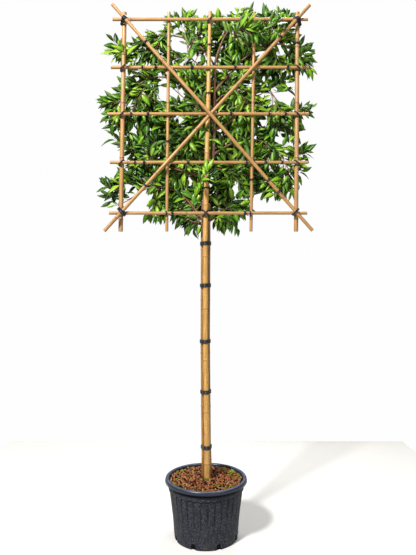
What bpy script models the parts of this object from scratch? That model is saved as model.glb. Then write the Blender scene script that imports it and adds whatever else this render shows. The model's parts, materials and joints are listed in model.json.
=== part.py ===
"""A pleached portugal laurel on a bamboo frame, in a round nursery pot.

The origin is the middle of the pot's underside, +Z is up and -Y is the face of the panel.
The plant is a trunk tied to three canes, a flat lattice of canes behind which the boughs are
spread, and masses of leaves that each keep to a block of the crown.
"""

import math
from collections import namedtuple

import bmesh
import bpy
import numpy as np
from mathutils import Vector
from mathutils.bvhtree import BVHTree

# Clearances
CLEAR = 0.0003
CROSSING_CLEAR = 0.0005
TIE_CLEAR = 0.0006
LEAF_CLEAR = 0.0009
CELL_CLEAR = 0.0006
FLAT_ANGLE = math.radians(0.05)
HAIR = 0.000001

# Pot
POT_HEIGHT = 0.366
RIM_RADIUS = 0.250
RIM_WIDTH = 0.0245
RIM_DROP = 0.0235
BASE_RADIUS = 0.1935
NECK_RADIUS = 0.2335
RIM_LIP = 0.004
RIM_ROLL_OUT = 0.007
RIM_ROLL_IN = 0.004
RIM_BEVEL_OUT = 0.005
RIM_BEVEL_IN = 0.003
RIM_DRAFT = 0.0005
RIM_FLARE = 0.0025
POT_WALL = 0.004
POT_FLOOR = 0.012
POT_FOOT_BEVEL = 0.005
BAND_FOOT = 0.300
BAND_STEP = 0.006
BAND_STEP_HEIGHT = 0.004
BAND_DRAFT = 0.0035
WALL_SLACK = 0.004
POT_SEGMENTS = 36
NOTCH_COUNT = 8
NOTCH_WIDTH = 0.025
NOTCH_HEIGHT = 0.033
NOTCH_DEPTH = 0.026
NOTCH_ARCH_POINTS = 5

# Substrate
SOIL_TOP = 0.364
SOIL_EDGE = 0.350
SOIL_FLAT = 0.080
SOIL_SLACK = 0.0005
SOIL_ROUNDING = 0.005
SOCKET_DEPTH = 0.150
SOCKET_OVERRUN = 0.050

# Canes of the lattice: heights, reaches and radii
CANE_SIDES = 8
NODE_SWELL = 1.10
NODE_HALF = 0.006
NODE_KEEP_OFF = 0.034
NODE_FROM_END = 0.020
FIRST_NODE_SHARE = 0.3
ROW_RADIUS = 0.0098
ROW_Y = -0.0646
ROW_NODE_SPACING = 0.36
ROWS = (
    ("cane_row_1", 3.149, -0.564, 0.615),
    ("cane_row_2", 2.859, -0.574, 0.619),
    ("cane_row_3", 2.578, -0.595, 0.620),
    ("cane_row_4", 2.285, -0.580, 0.615),
    ("cane_row_5", 1.979, -0.585, 0.610),
)
UPRIGHT_TOP = 3.202
UPRIGHT_FOOT = 1.870
UPRIGHT_NODE_SPACING = 0.34
UPRIGHTS = (
    ("cane_upright_outer_left", -0.496, -0.520, 0.0133),
    ("cane_upright_inner_left", -0.226, -0.239, 0.0095),
    ("cane_upright_inner_right", 0.294, 0.273, 0.0095),
    ("cane_upright_outer_right", 0.556, 0.547, 0.0130),
)
DIAGONAL_RADIUS = 0.0105
DIAGONAL_BOW = 2 * DIAGONAL_RADIUS + CROSSING_CLEAR
DIAGONAL_NODE_SPACING = 0.36
DIAGONAL_BENDS = (1 / 8, 2 / 8, 3 / 8, 5 / 8, 6 / 8, 7 / 8)
DIAGONAL_FLAT = 0.030
DIAGONAL_FALLING = (-0.562, 3.229, 0.639, 1.871)
DIAGONAL_RISING = (-0.611, 1.869, 0.622, 3.225)

# Canes of the stem
MAIN_CANE_Y = -0.0385
MAIN_CANE_NODE_SPACING = 0.315
MAIN_CANE_JOINS_PANEL = (1.70, 1.95)
MAIN_CANE_COURSE = (
    (0.364, 0.0085, 0.0194),
    (0.62, 0.0062, 0.0180),
    (1.20, -0.0030, 0.0164),
    (1.88, -0.0036, 0.0156),
    (2.03, -0.0005, 0.0158),
    (2.73, 0.0154, 0.0132),
    (2.93, 0.0178, 0.0116),
    (3.206, 0.0258, 0.0097),
)
REAR_CANE_Y = 0.0280
REAR_CANE_HEIGHTS = (0.214, 0.370, 0.580, 1.200, 1.800, 2.050)
REAR_CANES = (
    ("cane_rear_left", (-0.0158, -0.0158, -0.0176, -0.0235, -0.0215, -0.0205)),
    ("cane_rear_right", (0.0251, 0.0251, 0.0182, 0.0125, 0.0158, 0.0158)),
)
REAR_CANE_RADIUS = 0.0115
REAR_CANE_TOP = 2.05
REAR_CANE_NODE_SPACING = 0.33

# Trunk: height, x, y, radius
TRUNK_SIDES = 10
TRUNK_PROBE = 0.020
TRUNK_FLAT = math.radians(360 / TRUNK_SIDES)
TRUNK_COURSE = (
    (SOIL_TOP + CLEAR, 0.000, 0.0000, 0.0188),
    (0.42, 0.000, 0.0000, 0.0172),
    (0.70, 0.000, 0.0000, 0.0163),
    (1.75, -0.001, -0.0010, 0.0150),
    (1.93, -0.012, -0.0055, 0.0143),
    (2.03, -0.015, -0.0060, 0.0138),
    (2.17, 0.006, -0.0055, 0.0128),
    (2.32, 0.040, -0.0040, 0.0115),
    (2.45, 0.050, -0.0030, 0.0105),
    (2.65, 0.050, -0.0020, 0.0095),
    (2.80, 0.052, 0.0000, 0.0085),
    (2.92, 0.056, 0.0000, 0.0070),
    (2.98, 0.075, -0.0030, 0.0060),
    (3.035, 0.095, -0.0060, 0.0052),
    (3.080, 0.118, -0.0090, 0.0045),
    (3.109, 0.141, -0.0120, 0.0038),
)

# Boughs: the height where each leaves the trunk, its tip, and its slopes in degrees, up being positive
BOUGH_SIDES = 6
BOUGH_STEPS = 7
BOUGH_PULL = 0.42
BOUGH_BACKWARD = 0.25
Bough = namedtuple("Bough", "name leaves_at tip_x tip_y tip_z slope_in slope_out base_radius tip_radius")
BOUGHS = (
    Bough("bough_top_left", 2.885, -0.262, 0.012, 3.088, 68, 0, 0.0062, 0.0042),
    Bough("bough_top_left_short", 2.780, -0.060, 0.034, 2.925, 55, 35, 0.0052, 0.0038),
    Bough("bough_top_right", 2.735, 0.355, 0.010, 3.022, 52, 28, 0.0068, 0.0042),
    Bough("bough_upper_right_short", 2.660, 0.150, 0.026, 2.765, 48, 40, 0.0055, 0.0040),
    Bough("bough_upper_right", 2.500, 0.352, 0.016, 2.758, 18, 30, 0.0070, 0.0042),
    Bough("bough_lower_right", 2.345, 0.362, 0.012, 2.425, 35, -22, 0.0068, 0.0042),
    Bough("bough_lower_right_short", 2.260, 0.140, 0.030, 2.243, 6, -18, 0.0058, 0.0040),
    Bough("bough_foot_right", 1.925, 0.082, 0.022, 1.968, 28, 20, 0.0055, 0.0040),
    Bough("bough_foot_left", 1.945, -0.272, 0.010, 2.150, 48, 10, 0.0075, 0.0048),
    Bough("bough_lower_left", 2.200, -0.292, 0.012, 2.295, 16, 18, 0.0068, 0.0042),
    Bough("bough_lower_left_short", 2.325, -0.068, 0.034, 2.452, 62, 34, 0.0055, 0.0040),
    Bough("bough_upper_left", 2.555, -0.312, 0.010, 2.826, 42, -8, 0.0070, 0.0042),
)

# Foliage: the block of the crown that each mass keeps to, and what it grows from
FOLIAGE_FRONT = -0.165
FOLIAGE_BACK = 0.150
Mass = namedtuple("Mass", "name carrier leaves_at x_low x_high z_low z_high shoots")
MASSES = (
    Mass("foliage_top_left", "bough_top_left", None, -0.628, -0.252, 2.912, 3.118, 13),
    Mass("foliage_top_left_inner", "bough_top_left_short", None, -0.249, 0.050, 2.912, 3.240, 13),
    Mass("foliage_top_middle", "trunk_tip", None, 0.053, 0.341, 2.965, 3.280, 13),
    Mass("foliage_top_right", "bough_top_right", None, 0.345, 0.695, 2.830, 3.250, 11),
    Mass("foliage_upper_left", "bough_upper_left", None, -0.690, -0.300, 2.520, 2.908, 12),
    Mass("foliage_upper_left_inner", "trunk", 2.600, -0.296, 0.050, 2.502, 2.908, 13),
    Mass("foliage_upper_right_inner", "bough_upper_right_short", None, 0.054, 0.336, 2.520, 2.961, 9),
    Mass("foliage_upper_right", "bough_upper_right", None, 0.341, 0.682, 2.462, 2.826, 11),
    Mass("foliage_lower_left", "bough_lower_left", None, -0.622, -0.282, 2.272, 2.516, 12),
    Mass("foliage_lower_left_inner", "bough_lower_left_short", None, -0.278, 0.046, 2.166, 2.498, 12),
    Mass("foliage_lower_right_inner", "bough_lower_right_short", None, 0.050, 0.345, 2.134, 2.516, 10),
    Mass("foliage_lower_right", "bough_lower_right", None, 0.350, 0.632, 2.085, 2.458, 11),
    Mass("foliage_foot_left", "bough_foot_left", None, -0.656, -0.258, 1.925, 2.268, 11),
    Mass("foliage_foot_left_inner", "trunk", 1.905, -0.254, 0.000, 1.832, 2.162, 10),
    Mass("foliage_foot_right_inner", "bough_foot_right", None, 0.004, 0.247, 1.826, 2.130, 12),
)
# Furthest tips of the crown: the x and z that the first shoots of each mass make for
TIPS = {
    "foliage_top_left": ((-0.620, 2.972), (-0.606, 3.060)),
    "foliage_top_left_inner": ((-0.102, 3.234),),
    "foliage_top_middle": ((0.236, 3.276), (0.297, 3.262)),
    "foliage_top_right": ((0.506, 3.246), (0.691, 2.883)),
    "foliage_upper_left": ((-0.686, 2.645), (-0.640, 2.559)),
    "foliage_upper_right": ((0.678, 2.599), (0.640, 2.700)),
    "foliage_lower_left": ((-0.612, 2.485), (-0.590, 2.330)),
    "foliage_lower_right": ((0.613, 2.376), (0.626, 2.241)),
    "foliage_foot_left": ((-0.652, 2.094), (-0.263, 1.930)),
    "foliage_foot_left_inner": ((-0.097, 1.836),),
    "foliage_foot_right_inner": ((0.062, 1.831), (0.202, 1.879)),
}

# Growth of a mass: its stem, the shoots on the stem and the leaves on the shoots
STEM_RADII = (0.0036, 0.0026)
STEM_LEAD = 0.012
STEM_REACH = 0.78
STEM_STRAY = 0.03
STEM_DIP = 0.03
STEM_DEPTH = (-0.02, 0.09)
STEM_EDGE = 0.05
STEM_STATIONS = (0.0, 0.3, 0.55, 0.8, 1.0)
STEM_PULL = 0.40
STEM_SAG = 0.35
STEM_TRIES = 400
SHOOT_RADII = (0.0026, 0.0019)
SHOOT_BACKSET = 0.07
SHOOT_MARGIN = 0.006
SHOOT_SHARE = 0.60
SHOOT_SHARE_AT_TIP = 0.95
SHOOT_DEPTHS = (0.08, 0.92)
SHOOT_OFFSET = 0.15
TIP_DEPTH = 0.10
SHOOT_PLACES = 4
SHOOT_TRIES = 6
SHORTEST_SHOOT = 0.030
SEQUENCE_BASE = 1.2207440846057596
LEAF_LENGTH = 0.150
LEAF_WIDTH = 0.072
LEAF_THICKNESS = 0.0036
LEAF_SIZES = (0.85, 1.10)
LEAF_BELLY = 0.42
LEAF_RIDGE = 0.34
LEAF_SPACING = 0.050
LEAF_FOOT = 0.012
LEAF_SUNK = 0.0015
LEAF_STRAY = 0.3
LEAF_STRAY_AT_TIP = 0.12
LEAF_FACING = 1.2
LEAF_UPWARD = 0.6
LEAF_TILT = 0.6
LEAF_AHEAD = 0.8
LEAF_SET_BACK = 0.002
LEAF_PLANE = Vector((0, 0.4, 1))
LEAF_TRIES = 10
SEED = 11
SEED_STEP = 100
MOST_GROWTHS = 12

# Windows in the crown where the sky shows through: x and z of the middle, and half sizes
WINDOWS = (
    (-0.406, 3.112, 0.093, 0.062),
    (-0.207, 2.983, 0.077, 0.055),
    (-0.219, 2.728, 0.089, 0.058),
    (-0.031, 2.931, 0.037, 0.040),
    (0.452, 2.731, 0.090, 0.092),
    (0.476, 2.983, 0.053, 0.067),
    (-0.535, 2.297, 0.065, 0.078),
    (-0.385, 2.049, 0.102, 0.049),
    (0.178, 2.144, 0.062, 0.046),
)

# Ties
STEM_TIE_HEIGHTS = (1.800, 1.541, 1.196, 0.885, 0.545)
STEM_TIE_BAND = 0.025
STEM_TIE_WALL = 0.0025
LATTICE_TIE_BAND = 0.009
LATTICE_TIE_WALL = 0.0028
CORNER_TIE_BAND = 0.013
TIE_SPAN = 0.020
TIE_SIDES = 8

COLOURS = {
    "charcoal_plastic": ((0.035, 0.038, 0.045), 0.55),
    "bark_substrate": ((0.19, 0.075, 0.045), 0.95),
    "bamboo": ((0.52, 0.29, 0.11), 0.5),
    "laurel_bark": ((0.10, 0.045, 0.03), 0.8),
    "laurel_leaf": ((0.035, 0.13, 0.02), 0.4),
    "black_tie": ((0.012, 0.014, 0.02), 0.45),
}


def clear_scene():
    """Removes whatever the file opened with."""
    for obj in list(bpy.data.objects):
        bpy.data.objects.remove(obj, do_unlink=True)


def material(name):
    """The Principled material of that name, made once."""
    if name in bpy.data.materials:
        return bpy.data.materials[name]
    colour, roughness = COLOURS[name]
    made = bpy.data.materials.new(name)
    made.use_nodes = True
    shader = made.node_tree.nodes["Principled BSDF"]
    shader.inputs["Base Color"].default_value = (*colour, 1.0)
    shader.inputs["Roughness"].default_value = roughness
    shader.inputs["Metallic"].default_value = 0.0
    made.diffuse_color = (*colour, 1.0)
    return made


def add_object(name, vertices, faces, finish, sharp_degrees=40):
    """A mesh object in the scene, with its faces turned outwards."""
    mesh = bpy.data.meshes.new(name)
    mesh.from_pydata([tuple(v) for v in vertices], [], [tuple(f) for f in faces])
    work = bmesh.new()
    work.from_mesh(mesh)
    bmesh.ops.recalc_face_normals(work, faces=work.faces)
    work.to_mesh(mesh)
    work.free()
    mesh.shade_smooth()
    mesh.set_sharp_from_angle(angle=math.radians(sharp_degrees))
    obj = bpy.data.objects.new(name, mesh)
    bpy.context.scene.collection.objects.link(obj)
    obj.data.materials.append(material(finish))
    return obj


def tube(points, radii, sides):
    """Vertices and faces of a closed tube with flat ends, one corner of its first ring facing along Y."""
    points = [Vector(p) for p in points]
    count = len(points)
    vertices = []
    across = None
    for i, point in enumerate(points):
        along = (points[min(i + 1, count - 1)] - points[max(i - 1, 0)]).normalized()
        if across is None:
            guide = Vector((0, 1, 0)) if abs(along.y) < 0.9 else Vector((1, 0, 0))
            across = guide
        across = (across - along * along.dot(across)).normalized()
        beside = along.cross(across)
        for k in range(sides):
            turn = 2 * math.pi * k / sides
            vertices.append(point + radii[i] * (math.cos(turn) * across + math.sin(turn) * beside))
    faces = [tuple(range(sides))[::-1], tuple((count - 1) * sides + k for k in range(sides))]
    for i in range(count - 1):
        for k in range(sides):
            a = i * sides + k
            b = i * sides + (k + 1) % sides
            faces.append((a, b, b + sides, a + sides))
    return vertices, faces


def lathe(profile, segments):
    """Vertices and faces of a turned solid, from (radius, height) pairs that start and end on the axis."""
    vertices = [(0.0, 0.0, profile[0][1])]
    for radius, height in profile[1:-1]:
        for k in range(segments):
            turn = 2 * math.pi * k / segments
            vertices.append((radius * math.cos(turn), radius * math.sin(turn), height))
    vertices.append((0.0, 0.0, profile[-1][1]))
    rings = len(profile) - 2
    last = len(vertices) - 1
    faces = []
    for k in range(segments):
        n = (k + 1) % segments
        faces.append((0, 1 + n, 1 + k))
        faces.append((last, 1 + (rings - 1) * segments + k, 1 + (rings - 1) * segments + n))
        for i in range(rings - 1):
            a = 1 + i * segments
            faces.append((a + k, a + n, a + segments + n, a + segments + k))
    return vertices, faces


def boolean(obj, operation, tool, solver="EXACT"):
    """Applies a Boolean of one object, or of every object in a collection, and removes the tools."""
    modifier = obj.modifiers.new(operation.lower(), "BOOLEAN")
    modifier.operation = operation
    modifier.solver = solver
    if isinstance(tool, bpy.types.Collection):
        modifier.operand_type = "COLLECTION"
        modifier.collection = tool
        tools = list(tool.objects)
    else:
        modifier.object = tool
        tools = [tool]
    graph = bpy.context.evaluated_depsgraph_get()
    made = bpy.data.meshes.new_from_object(obj.evaluated_get(graph))
    obj.modifiers.remove(modifier)
    old = obj.data
    obj.data = made
    bpy.data.meshes.remove(old)
    for used in tools:
        bpy.data.objects.remove(used, do_unlink=True)
    if isinstance(tool, bpy.types.Collection):
        bpy.data.collections.remove(tool)
    return obj


def as_cutter(obj):
    """Marks an object as a tool that isn't part of the plant."""
    obj.hide_render = True
    obj.display_type = "WIRE"
    return obj


def make_pot():
    """The pot: flat base, tapering wall, plain band, downturned rim and drain notches round the foot."""
    rim_inside = RIM_RADIUS - RIM_WIDTH
    profile = [
        (0.0, 0.0),
        (BASE_RADIUS - POT_FOOT_BEVEL, 0.0),
        (BASE_RADIUS, POT_FOOT_BEVEL),
        (NECK_RADIUS - BAND_STEP, BAND_FOOT),
        (NECK_RADIUS - BAND_DRAFT, BAND_FOOT + BAND_STEP_HEIGHT),
        (NECK_RADIUS, POT_HEIGHT - RIM_LIP),
        (RIM_RADIUS - RIM_LIP, POT_HEIGHT - RIM_LIP - RIM_DRAFT),
        (RIM_RADIUS - RIM_LIP, POT_HEIGHT - RIM_DROP),
        (RIM_RADIUS + RIM_FLARE, POT_HEIGHT - RIM_DROP),
        (RIM_RADIUS, POT_HEIGHT - RIM_ROLL_OUT),
        (RIM_RADIUS - RIM_BEVEL_OUT, POT_HEIGHT),
        (rim_inside + RIM_BEVEL_IN, POT_HEIGHT),
        (rim_inside, POT_HEIGHT - RIM_ROLL_IN),
        (NECK_RADIUS - POT_WALL - WALL_SLACK, BAND_FOOT),
        (BASE_RADIUS - POT_WALL, POT_FLOOR),
        (0.0, POT_FLOOR),
    ]
    pot = add_object("pot", *lathe(profile, POT_SEGMENTS), "charcoal_plastic")
    notches = bpy.data.collections.new("notches")
    bpy.context.scene.collection.children.link(notches)
    notches.hide_render = True
    for i in range(NOTCH_COUNT):
        turn = math.radians(-90 + 360 * (i + 0.5) / NOTCH_COUNT)
        cutter = as_cutter(make_notch_cutter(turn))
        bpy.context.scene.collection.objects.unlink(cutter)
        notches.objects.link(cutter)
    return boolean(pot, "DIFFERENCE", notches)


def make_notch_cutter(turn):
    """An arched block across the wall's foot, in the direction given by turn."""
    half = NOTCH_WIDTH / 2
    turns = np.linspace(0, math.pi, NOTCH_ARCH_POINTS)
    arch = [(half * math.cos(a), NOTCH_HEIGHT - half + half * math.sin(a)) for a in turns]
    outline = [(half, -half)] + arch + [(-half, -half)]
    outward = Vector((math.cos(turn), math.sin(turn), 0))
    sideways = Vector((-math.sin(turn), math.cos(turn), 0))
    vertices = []
    for reach in (BASE_RADIUS - NOTCH_DEPTH, BASE_RADIUS + NOTCH_DEPTH):
        vertices += [outward * reach + sideways * s + Vector((0, 0, h)) for s, h in outline]
    count = len(outline)
    faces = [tuple(range(count)), tuple(range(2 * count - 1, count - 1, -1))]
    faces += [(i, (i + 1) % count, count + (i + 1) % count, count + i) for i in range(count)]
    return add_object("notch", vertices, faces, "charcoal_plastic")


def make_soil(sockets):
    """The substrate that fills the pot, low mound on top, with a socket for each buried cane."""
    foot_radius = BASE_RADIUS - POT_WALL - CLEAR - SOIL_SLACK
    slope = (NECK_RADIUS - WALL_SLACK - BASE_RADIUS) / (BAND_FOOT - POT_FLOOR)
    edge_radius = NECK_RADIUS - POT_WALL - WALL_SLACK - CLEAR - SOIL_SLACK
    profile = [
        (0.0, POT_FLOOR + CLEAR),
        (foot_radius, POT_FLOOR + CLEAR),
        (foot_radius + slope * (BAND_FOOT - POT_FLOOR) - SOIL_SLACK, BAND_FOOT),
        (edge_radius, SOIL_EDGE - SOIL_ROUNDING),
        (edge_radius - SOIL_ROUNDING, SOIL_EDGE),
        ((edge_radius + SOIL_FLAT) / 2, (SOIL_EDGE + SOIL_TOP) / 2),
        (SOIL_FLAT, SOIL_TOP),
        (0.0, SOIL_TOP),
    ]
    soil = add_object("soil", *lathe(profile, POT_SEGMENTS), "bark_substrate", 60)
    for x, y, radius in sockets:
        ends = ((x, y, SOIL_TOP - SOCKET_DEPTH - CLEAR), (x, y, SOIL_TOP + SOCKET_OVERRUN))
        cutter = add_object("socket", *tube(ends, (radius + CLEAR,) * 2, CANE_SIDES), "bamboo")
        boolean(soil, "DIFFERENCE", as_cutter(cutter))
    return soil


def node_stations(length, spacing, crossings, buried=0.0):
    """Distances of a cane's nodes from its foot, each moved off any crossing that it would foul."""
    stations = []
    for s in np.arange(buried + FIRST_NODE_SHARE * spacing, length - NODE_FROM_END, spacing):
        for crossing in crossings:
            if abs(s - crossing) < NODE_KEEP_OFF:
                s = crossing + math.copysign(NODE_KEEP_OFF, s - crossing)
        if NODE_FROM_END < s < length - NODE_FROM_END:
            stations.append(s)
    return stations


def cane_rings(nodes, ends, bends):
    """Station and swelling of every ring: three at a node, one at each end and at each clear bend."""
    rings = [(s, 1.0) for s in ends]
    rings += [(s, 1.0) for s in bends if min(abs(s - node) for node in nodes) > 2 * NODE_HALF]
    for s in nodes:
        rings += [(s - NODE_HALF, 1.0), (s, NODE_SWELL), (s + NODE_HALF, 1.0)]
    return sorted(rings)


def cane_course(place, length, radius_at, spacing, crossings, bends=(), buried=0.0):
    """Points and radii along a cane, with a swelling at every node."""
    points = []
    radii = []
    for s, swell in cane_rings(node_stations(length, spacing, crossings, buried), (0.0, length), bends):
        points.append(place(s))
        radii.append(radius_at(s) * swell)
    return points, radii


def straight(start, end):
    """The length of a straight run, and the place at each distance along it."""
    start = Vector(start)
    run = Vector(end) - start
    return run.length, lambda s: start + run * (s / run.length)


def diagonal_place(ends, bow):
    """Length and course of a diagonal cane that stands out by bow at its middle."""
    x0, z0, x1, z1 = ends
    seat = ROW_Y - ROW_RADIUS - DIAGONAL_RADIUS - CROSSING_CLEAR
    length = math.hypot(x1 - x0, z1 - z0)

    def place(s):
        t = s / length
        return Vector((x0 + (x1 - x0) * t, seat - bow * math.sin(math.pi * t) ** 2, z0 + (z1 - z0) * t))

    return length, place


def diagonals_meet_at():
    """x where the two diagonals pass each other."""
    (a0, b0, a1, b1), (c0, d0, c1, d1) = DIAGONAL_FALLING, DIAGONAL_RISING
    falls = (b1 - b0) / (a1 - a0)
    rises = (d1 - d0) / (c1 - c0)
    return (d0 - b0 + falls * a0 - rises * c0) / (falls - rises)


def main_cane_at(z):
    """x, y and radius of the long cane at a height; its face stays just behind the rows."""
    heights, xs, radii = zip(*MAIN_CANE_COURSE)
    x = float(np.interp(z, heights, xs))
    radius = float(np.interp(z, heights, radii))
    face = ROW_Y + ROW_RADIUS + CROSSING_CLEAR
    blend = float(np.interp(z, MAIN_CANE_JOINS_PANEL, (0.0, 1.0)))
    return x, (1 - blend) * MAIN_CANE_Y + blend * (face + radius), radius


def upright_x(upright, z):
    """x of an upright at a height."""
    _, top_x, foot_x, _ = upright
    t = (z - UPRIGHT_FOOT) / (UPRIGHT_TOP - UPRIGHT_FOOT)
    return foot_x + (top_x - foot_x) * t


def all_canes():
    """Name, points and radii of every cane."""
    canes = []
    for name, z, left, right in ROWS:
        length, place = straight((left, ROW_Y, z), (right, ROW_Y, z))
        crossings = [upright_x(upright, z) - left for upright in UPRIGHTS]
        crossings.append(main_cane_at(z)[0] - left)
        for x0, z0, x1, z1 in (DIAGONAL_FALLING, DIAGONAL_RISING):
            crossings.append(x0 + (x1 - x0) * (z - z0) / (z1 - z0) - left)
        canes.append((name, *cane_course(place, length, lambda s: ROW_RADIUS, ROW_NODE_SPACING, crossings)))
    for name, top_x, foot_x, radius in UPRIGHTS:
        y = ROW_Y + ROW_RADIUS + CROSSING_CLEAR + radius
        length, place = straight((foot_x, y, UPRIGHT_FOOT), (top_x, y, UPRIGHT_TOP))
        crossings = [z - UPRIGHT_FOOT for _, z, _, _ in ROWS]
        course = cane_course(place, length, lambda s, r=radius: r, UPRIGHT_NODE_SPACING, crossings)
        canes.append((name, *course))
    for name, ends, stands_out in (
        ("cane_diagonal_falling", DIAGONAL_FALLING, DIAGONAL_BOW),
        ("cane_diagonal_rising", DIAGONAL_RISING, 0.0),
    ):
        length, place = diagonal_place(ends, stands_out)
        x0, z0, x1, z1 = ends
        crossings = [length * (z - z0) / (z1 - z0) for _, z, _, _ in ROWS]
        meeting = length * (diagonals_meet_at() - x0) / (x1 - x0)
        corners = [length * (upright_x(UPRIGHTS[i], z) - x0) / (x1 - x0) for i, z in ((0, z0), (3, z1))]
        bends = corners + [meeting - DIAGONAL_FLAT, meeting + DIAGONAL_FLAT]
        bends += [length * share for share in DIAGONAL_BENDS]
        course = cane_course(
            place,
            length,
            lambda s: DIAGONAL_RADIUS,
            DIAGONAL_NODE_SPACING,
            crossings + [meeting],
            bends if stands_out else (),
        )
        canes.append((name, *course))
    canes.append(("cane_main", *main_cane_course()))
    for name, xs in REAR_CANES:
        foot = SOIL_TOP - SOCKET_DEPTH
        course = cane_course(
            lambda s, xs=xs, foot=foot: Vector((rear_cane_x(xs, foot + s), REAR_CANE_Y, foot + s)),
            REAR_CANE_TOP - foot,
            lambda s: REAR_CANE_RADIUS,
            REAR_CANE_NODE_SPACING,
            [z - foot for z in STEM_TIE_HEIGHTS],
            [z - foot for z in REAR_CANE_HEIGHTS[1:-1]],
            SOCKET_DEPTH,
        )
        canes.append((name, *course))
    return canes


def rear_cane_x(xs, z):
    """x of a rear cane at a height, from its x at each of the rear canes' bends."""
    return float(np.interp(z, REAR_CANE_HEIGHTS, xs))


def main_cane_course():
    """Points and radii of the long cane, from its buried foot to its top."""
    foot = SOIL_TOP - SOCKET_DEPTH
    top = MAIN_CANE_COURSE[-1][0]
    bends = [z for z, _, _ in MAIN_CANE_COURSE[:-1]] + list(MAIN_CANE_JOINS_PANEL)
    keep_off = [z for _, z, _, _ in ROWS] + list(STEM_TIE_HEIGHTS)
    nodes = node_stations(top - foot, MAIN_CANE_NODE_SPACING, [z - foot for z in keep_off], SOCKET_DEPTH)
    points = []
    radii = []
    for z, swell in cane_rings([foot + s for s in nodes], (foot, top), bends):
        x, y, radius = main_cane_at(z)
        points.append((x, y, z))
        radii.append(radius * swell)
    return points, radii


def trunk_at(z):
    """Middle, direction and radius of the trunk at a height."""
    heights, xs, ys, radii = zip(*TRUNK_COURSE)
    z = min(z, heights[-1])
    middle = Vector((float(np.interp(z, heights, xs)), float(np.interp(z, heights, ys)), z))
    high = min(z + TRUNK_PROBE, heights[-1])
    low = high - 2 * TRUNK_PROBE
    ahead = Vector((float(np.interp(high, heights, xs)), float(np.interp(high, heights, ys)), high))
    behind = Vector((float(np.interp(low, heights, xs)), float(np.interp(low, heights, ys)), low))
    return middle, (ahead - behind).normalized(), float(np.interp(z, heights, radii))


def trunk_course(extra=0.0):
    """Points and radii of the trunk, thickened by extra for a cutter."""
    points = [(x, y, z) for z, x, y, _ in TRUNK_COURSE]
    return points, [r + extra for _, _, _, r in TRUNK_COURSE]


def cubic(p0, p1, p2, p3, t):
    """A point on a cubic curve between p0 and p3."""
    u = 1 - t
    return p0 * u**3 + p1 * (3 * u * u * t) + p2 * (3 * u * t * t) + p3 * t**3


def bough_course(bough):
    """Points and radii of a bough, from the trunk's middle to its tip."""
    start, _, _ = trunk_at(bough.leaves_at)
    tip = Vector((bough.tip_x, bough.tip_y, bough.tip_z))
    side = math.copysign(1.0, bough.tip_x - start.x)
    pull = BOUGH_PULL * (tip - start).length
    slope_in = math.radians(bough.slope_in)
    slope_out = math.radians(bough.slope_out)
    first = start + pull * Vector((side * math.cos(slope_in), BOUGH_BACKWARD, math.sin(slope_in)))
    second = tip - pull * Vector((side * math.cos(slope_out), 0.0, math.sin(slope_out)))
    points = [cubic(start, first, second, tip, i / BOUGH_STEPS) for i in range(BOUGH_STEPS + 1)]
    radii = [
        bough.base_radius + (bough.tip_radius - bough.base_radius) * i / BOUGH_STEPS
        for i in range(BOUGH_STEPS + 1)
    ]
    return points, radii


def make_boughs():
    """The boughs, each with its root scribed to the trunk."""
    for bough in BOUGHS:
        limb = add_object(bough.name, *tube(*bough_course(bough), BOUGH_SIDES), "laurel_bark", 60)
        cutter = add_object("scribe", *tube(*trunk_course(CLEAR), TRUNK_SIDES), "laurel_bark")
        boolean(limb, "DIFFERENCE", as_cutter(cutter))
        keep_main_body(limb)


def keep_main_body(obj):
    """Keeps the body with the most faces and tells whether it is closed: scrap and sealed hollows go."""
    work = bmesh.new()
    work.from_mesh(obj.data)
    left = set(work.faces)
    bodies = []
    while left:
        seed = left.pop()
        body = {seed}
        edge_faces = [seed]
        while edge_faces:
            face = edge_faces.pop()
            for edge in face.edges:
                for other in edge.link_faces:
                    if other in left:
                        left.discard(other)
                        body.add(other)
                        edge_faces.append(other)
        bodies.append(body)
    bodies.sort(key=len, reverse=True)
    scrap = [face for body in bodies[1:] for face in body]
    if scrap:
        bmesh.ops.delete(work, geom=scrap, context="FACES")
    bmesh.ops.dissolve_limit(work, angle_limit=FLAT_ANGLE, verts=work.verts, edges=work.edges)
    bmesh.ops.triangulate(work, faces=work.faces)
    work.to_mesh(obj.data)
    work.free()
    return is_closed(obj.data)


def is_closed(mesh):
    """Whether every edge has two faces, also once points a hair apart are taken as one."""
    points = np.empty(len(mesh.vertices) * 3, np.float32)
    mesh.vertices.foreach_get("co", points)
    corners = np.empty(len(mesh.loops), np.int32)
    mesh.loops.foreach_get("vertex_index", corners)
    _, merged = np.unique(np.round(points.reshape(-1, 3) / HAIR), axis=0, return_inverse=True)
    faces = merged.reshape(-1)[corners].reshape(-1, 3)
    sides = [faces[:, [0, 1]], faces[:, [1, 2]], faces[:, [2, 0]]]
    whole = np.all([side[:, 0] != side[:, 1] for side in sides], axis=0)
    ends = np.sort(np.concatenate([side[whole] for side in sides]), axis=1)
    return bool((np.unique(ends, axis=0, return_counts=True)[1] == 2).all())


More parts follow.
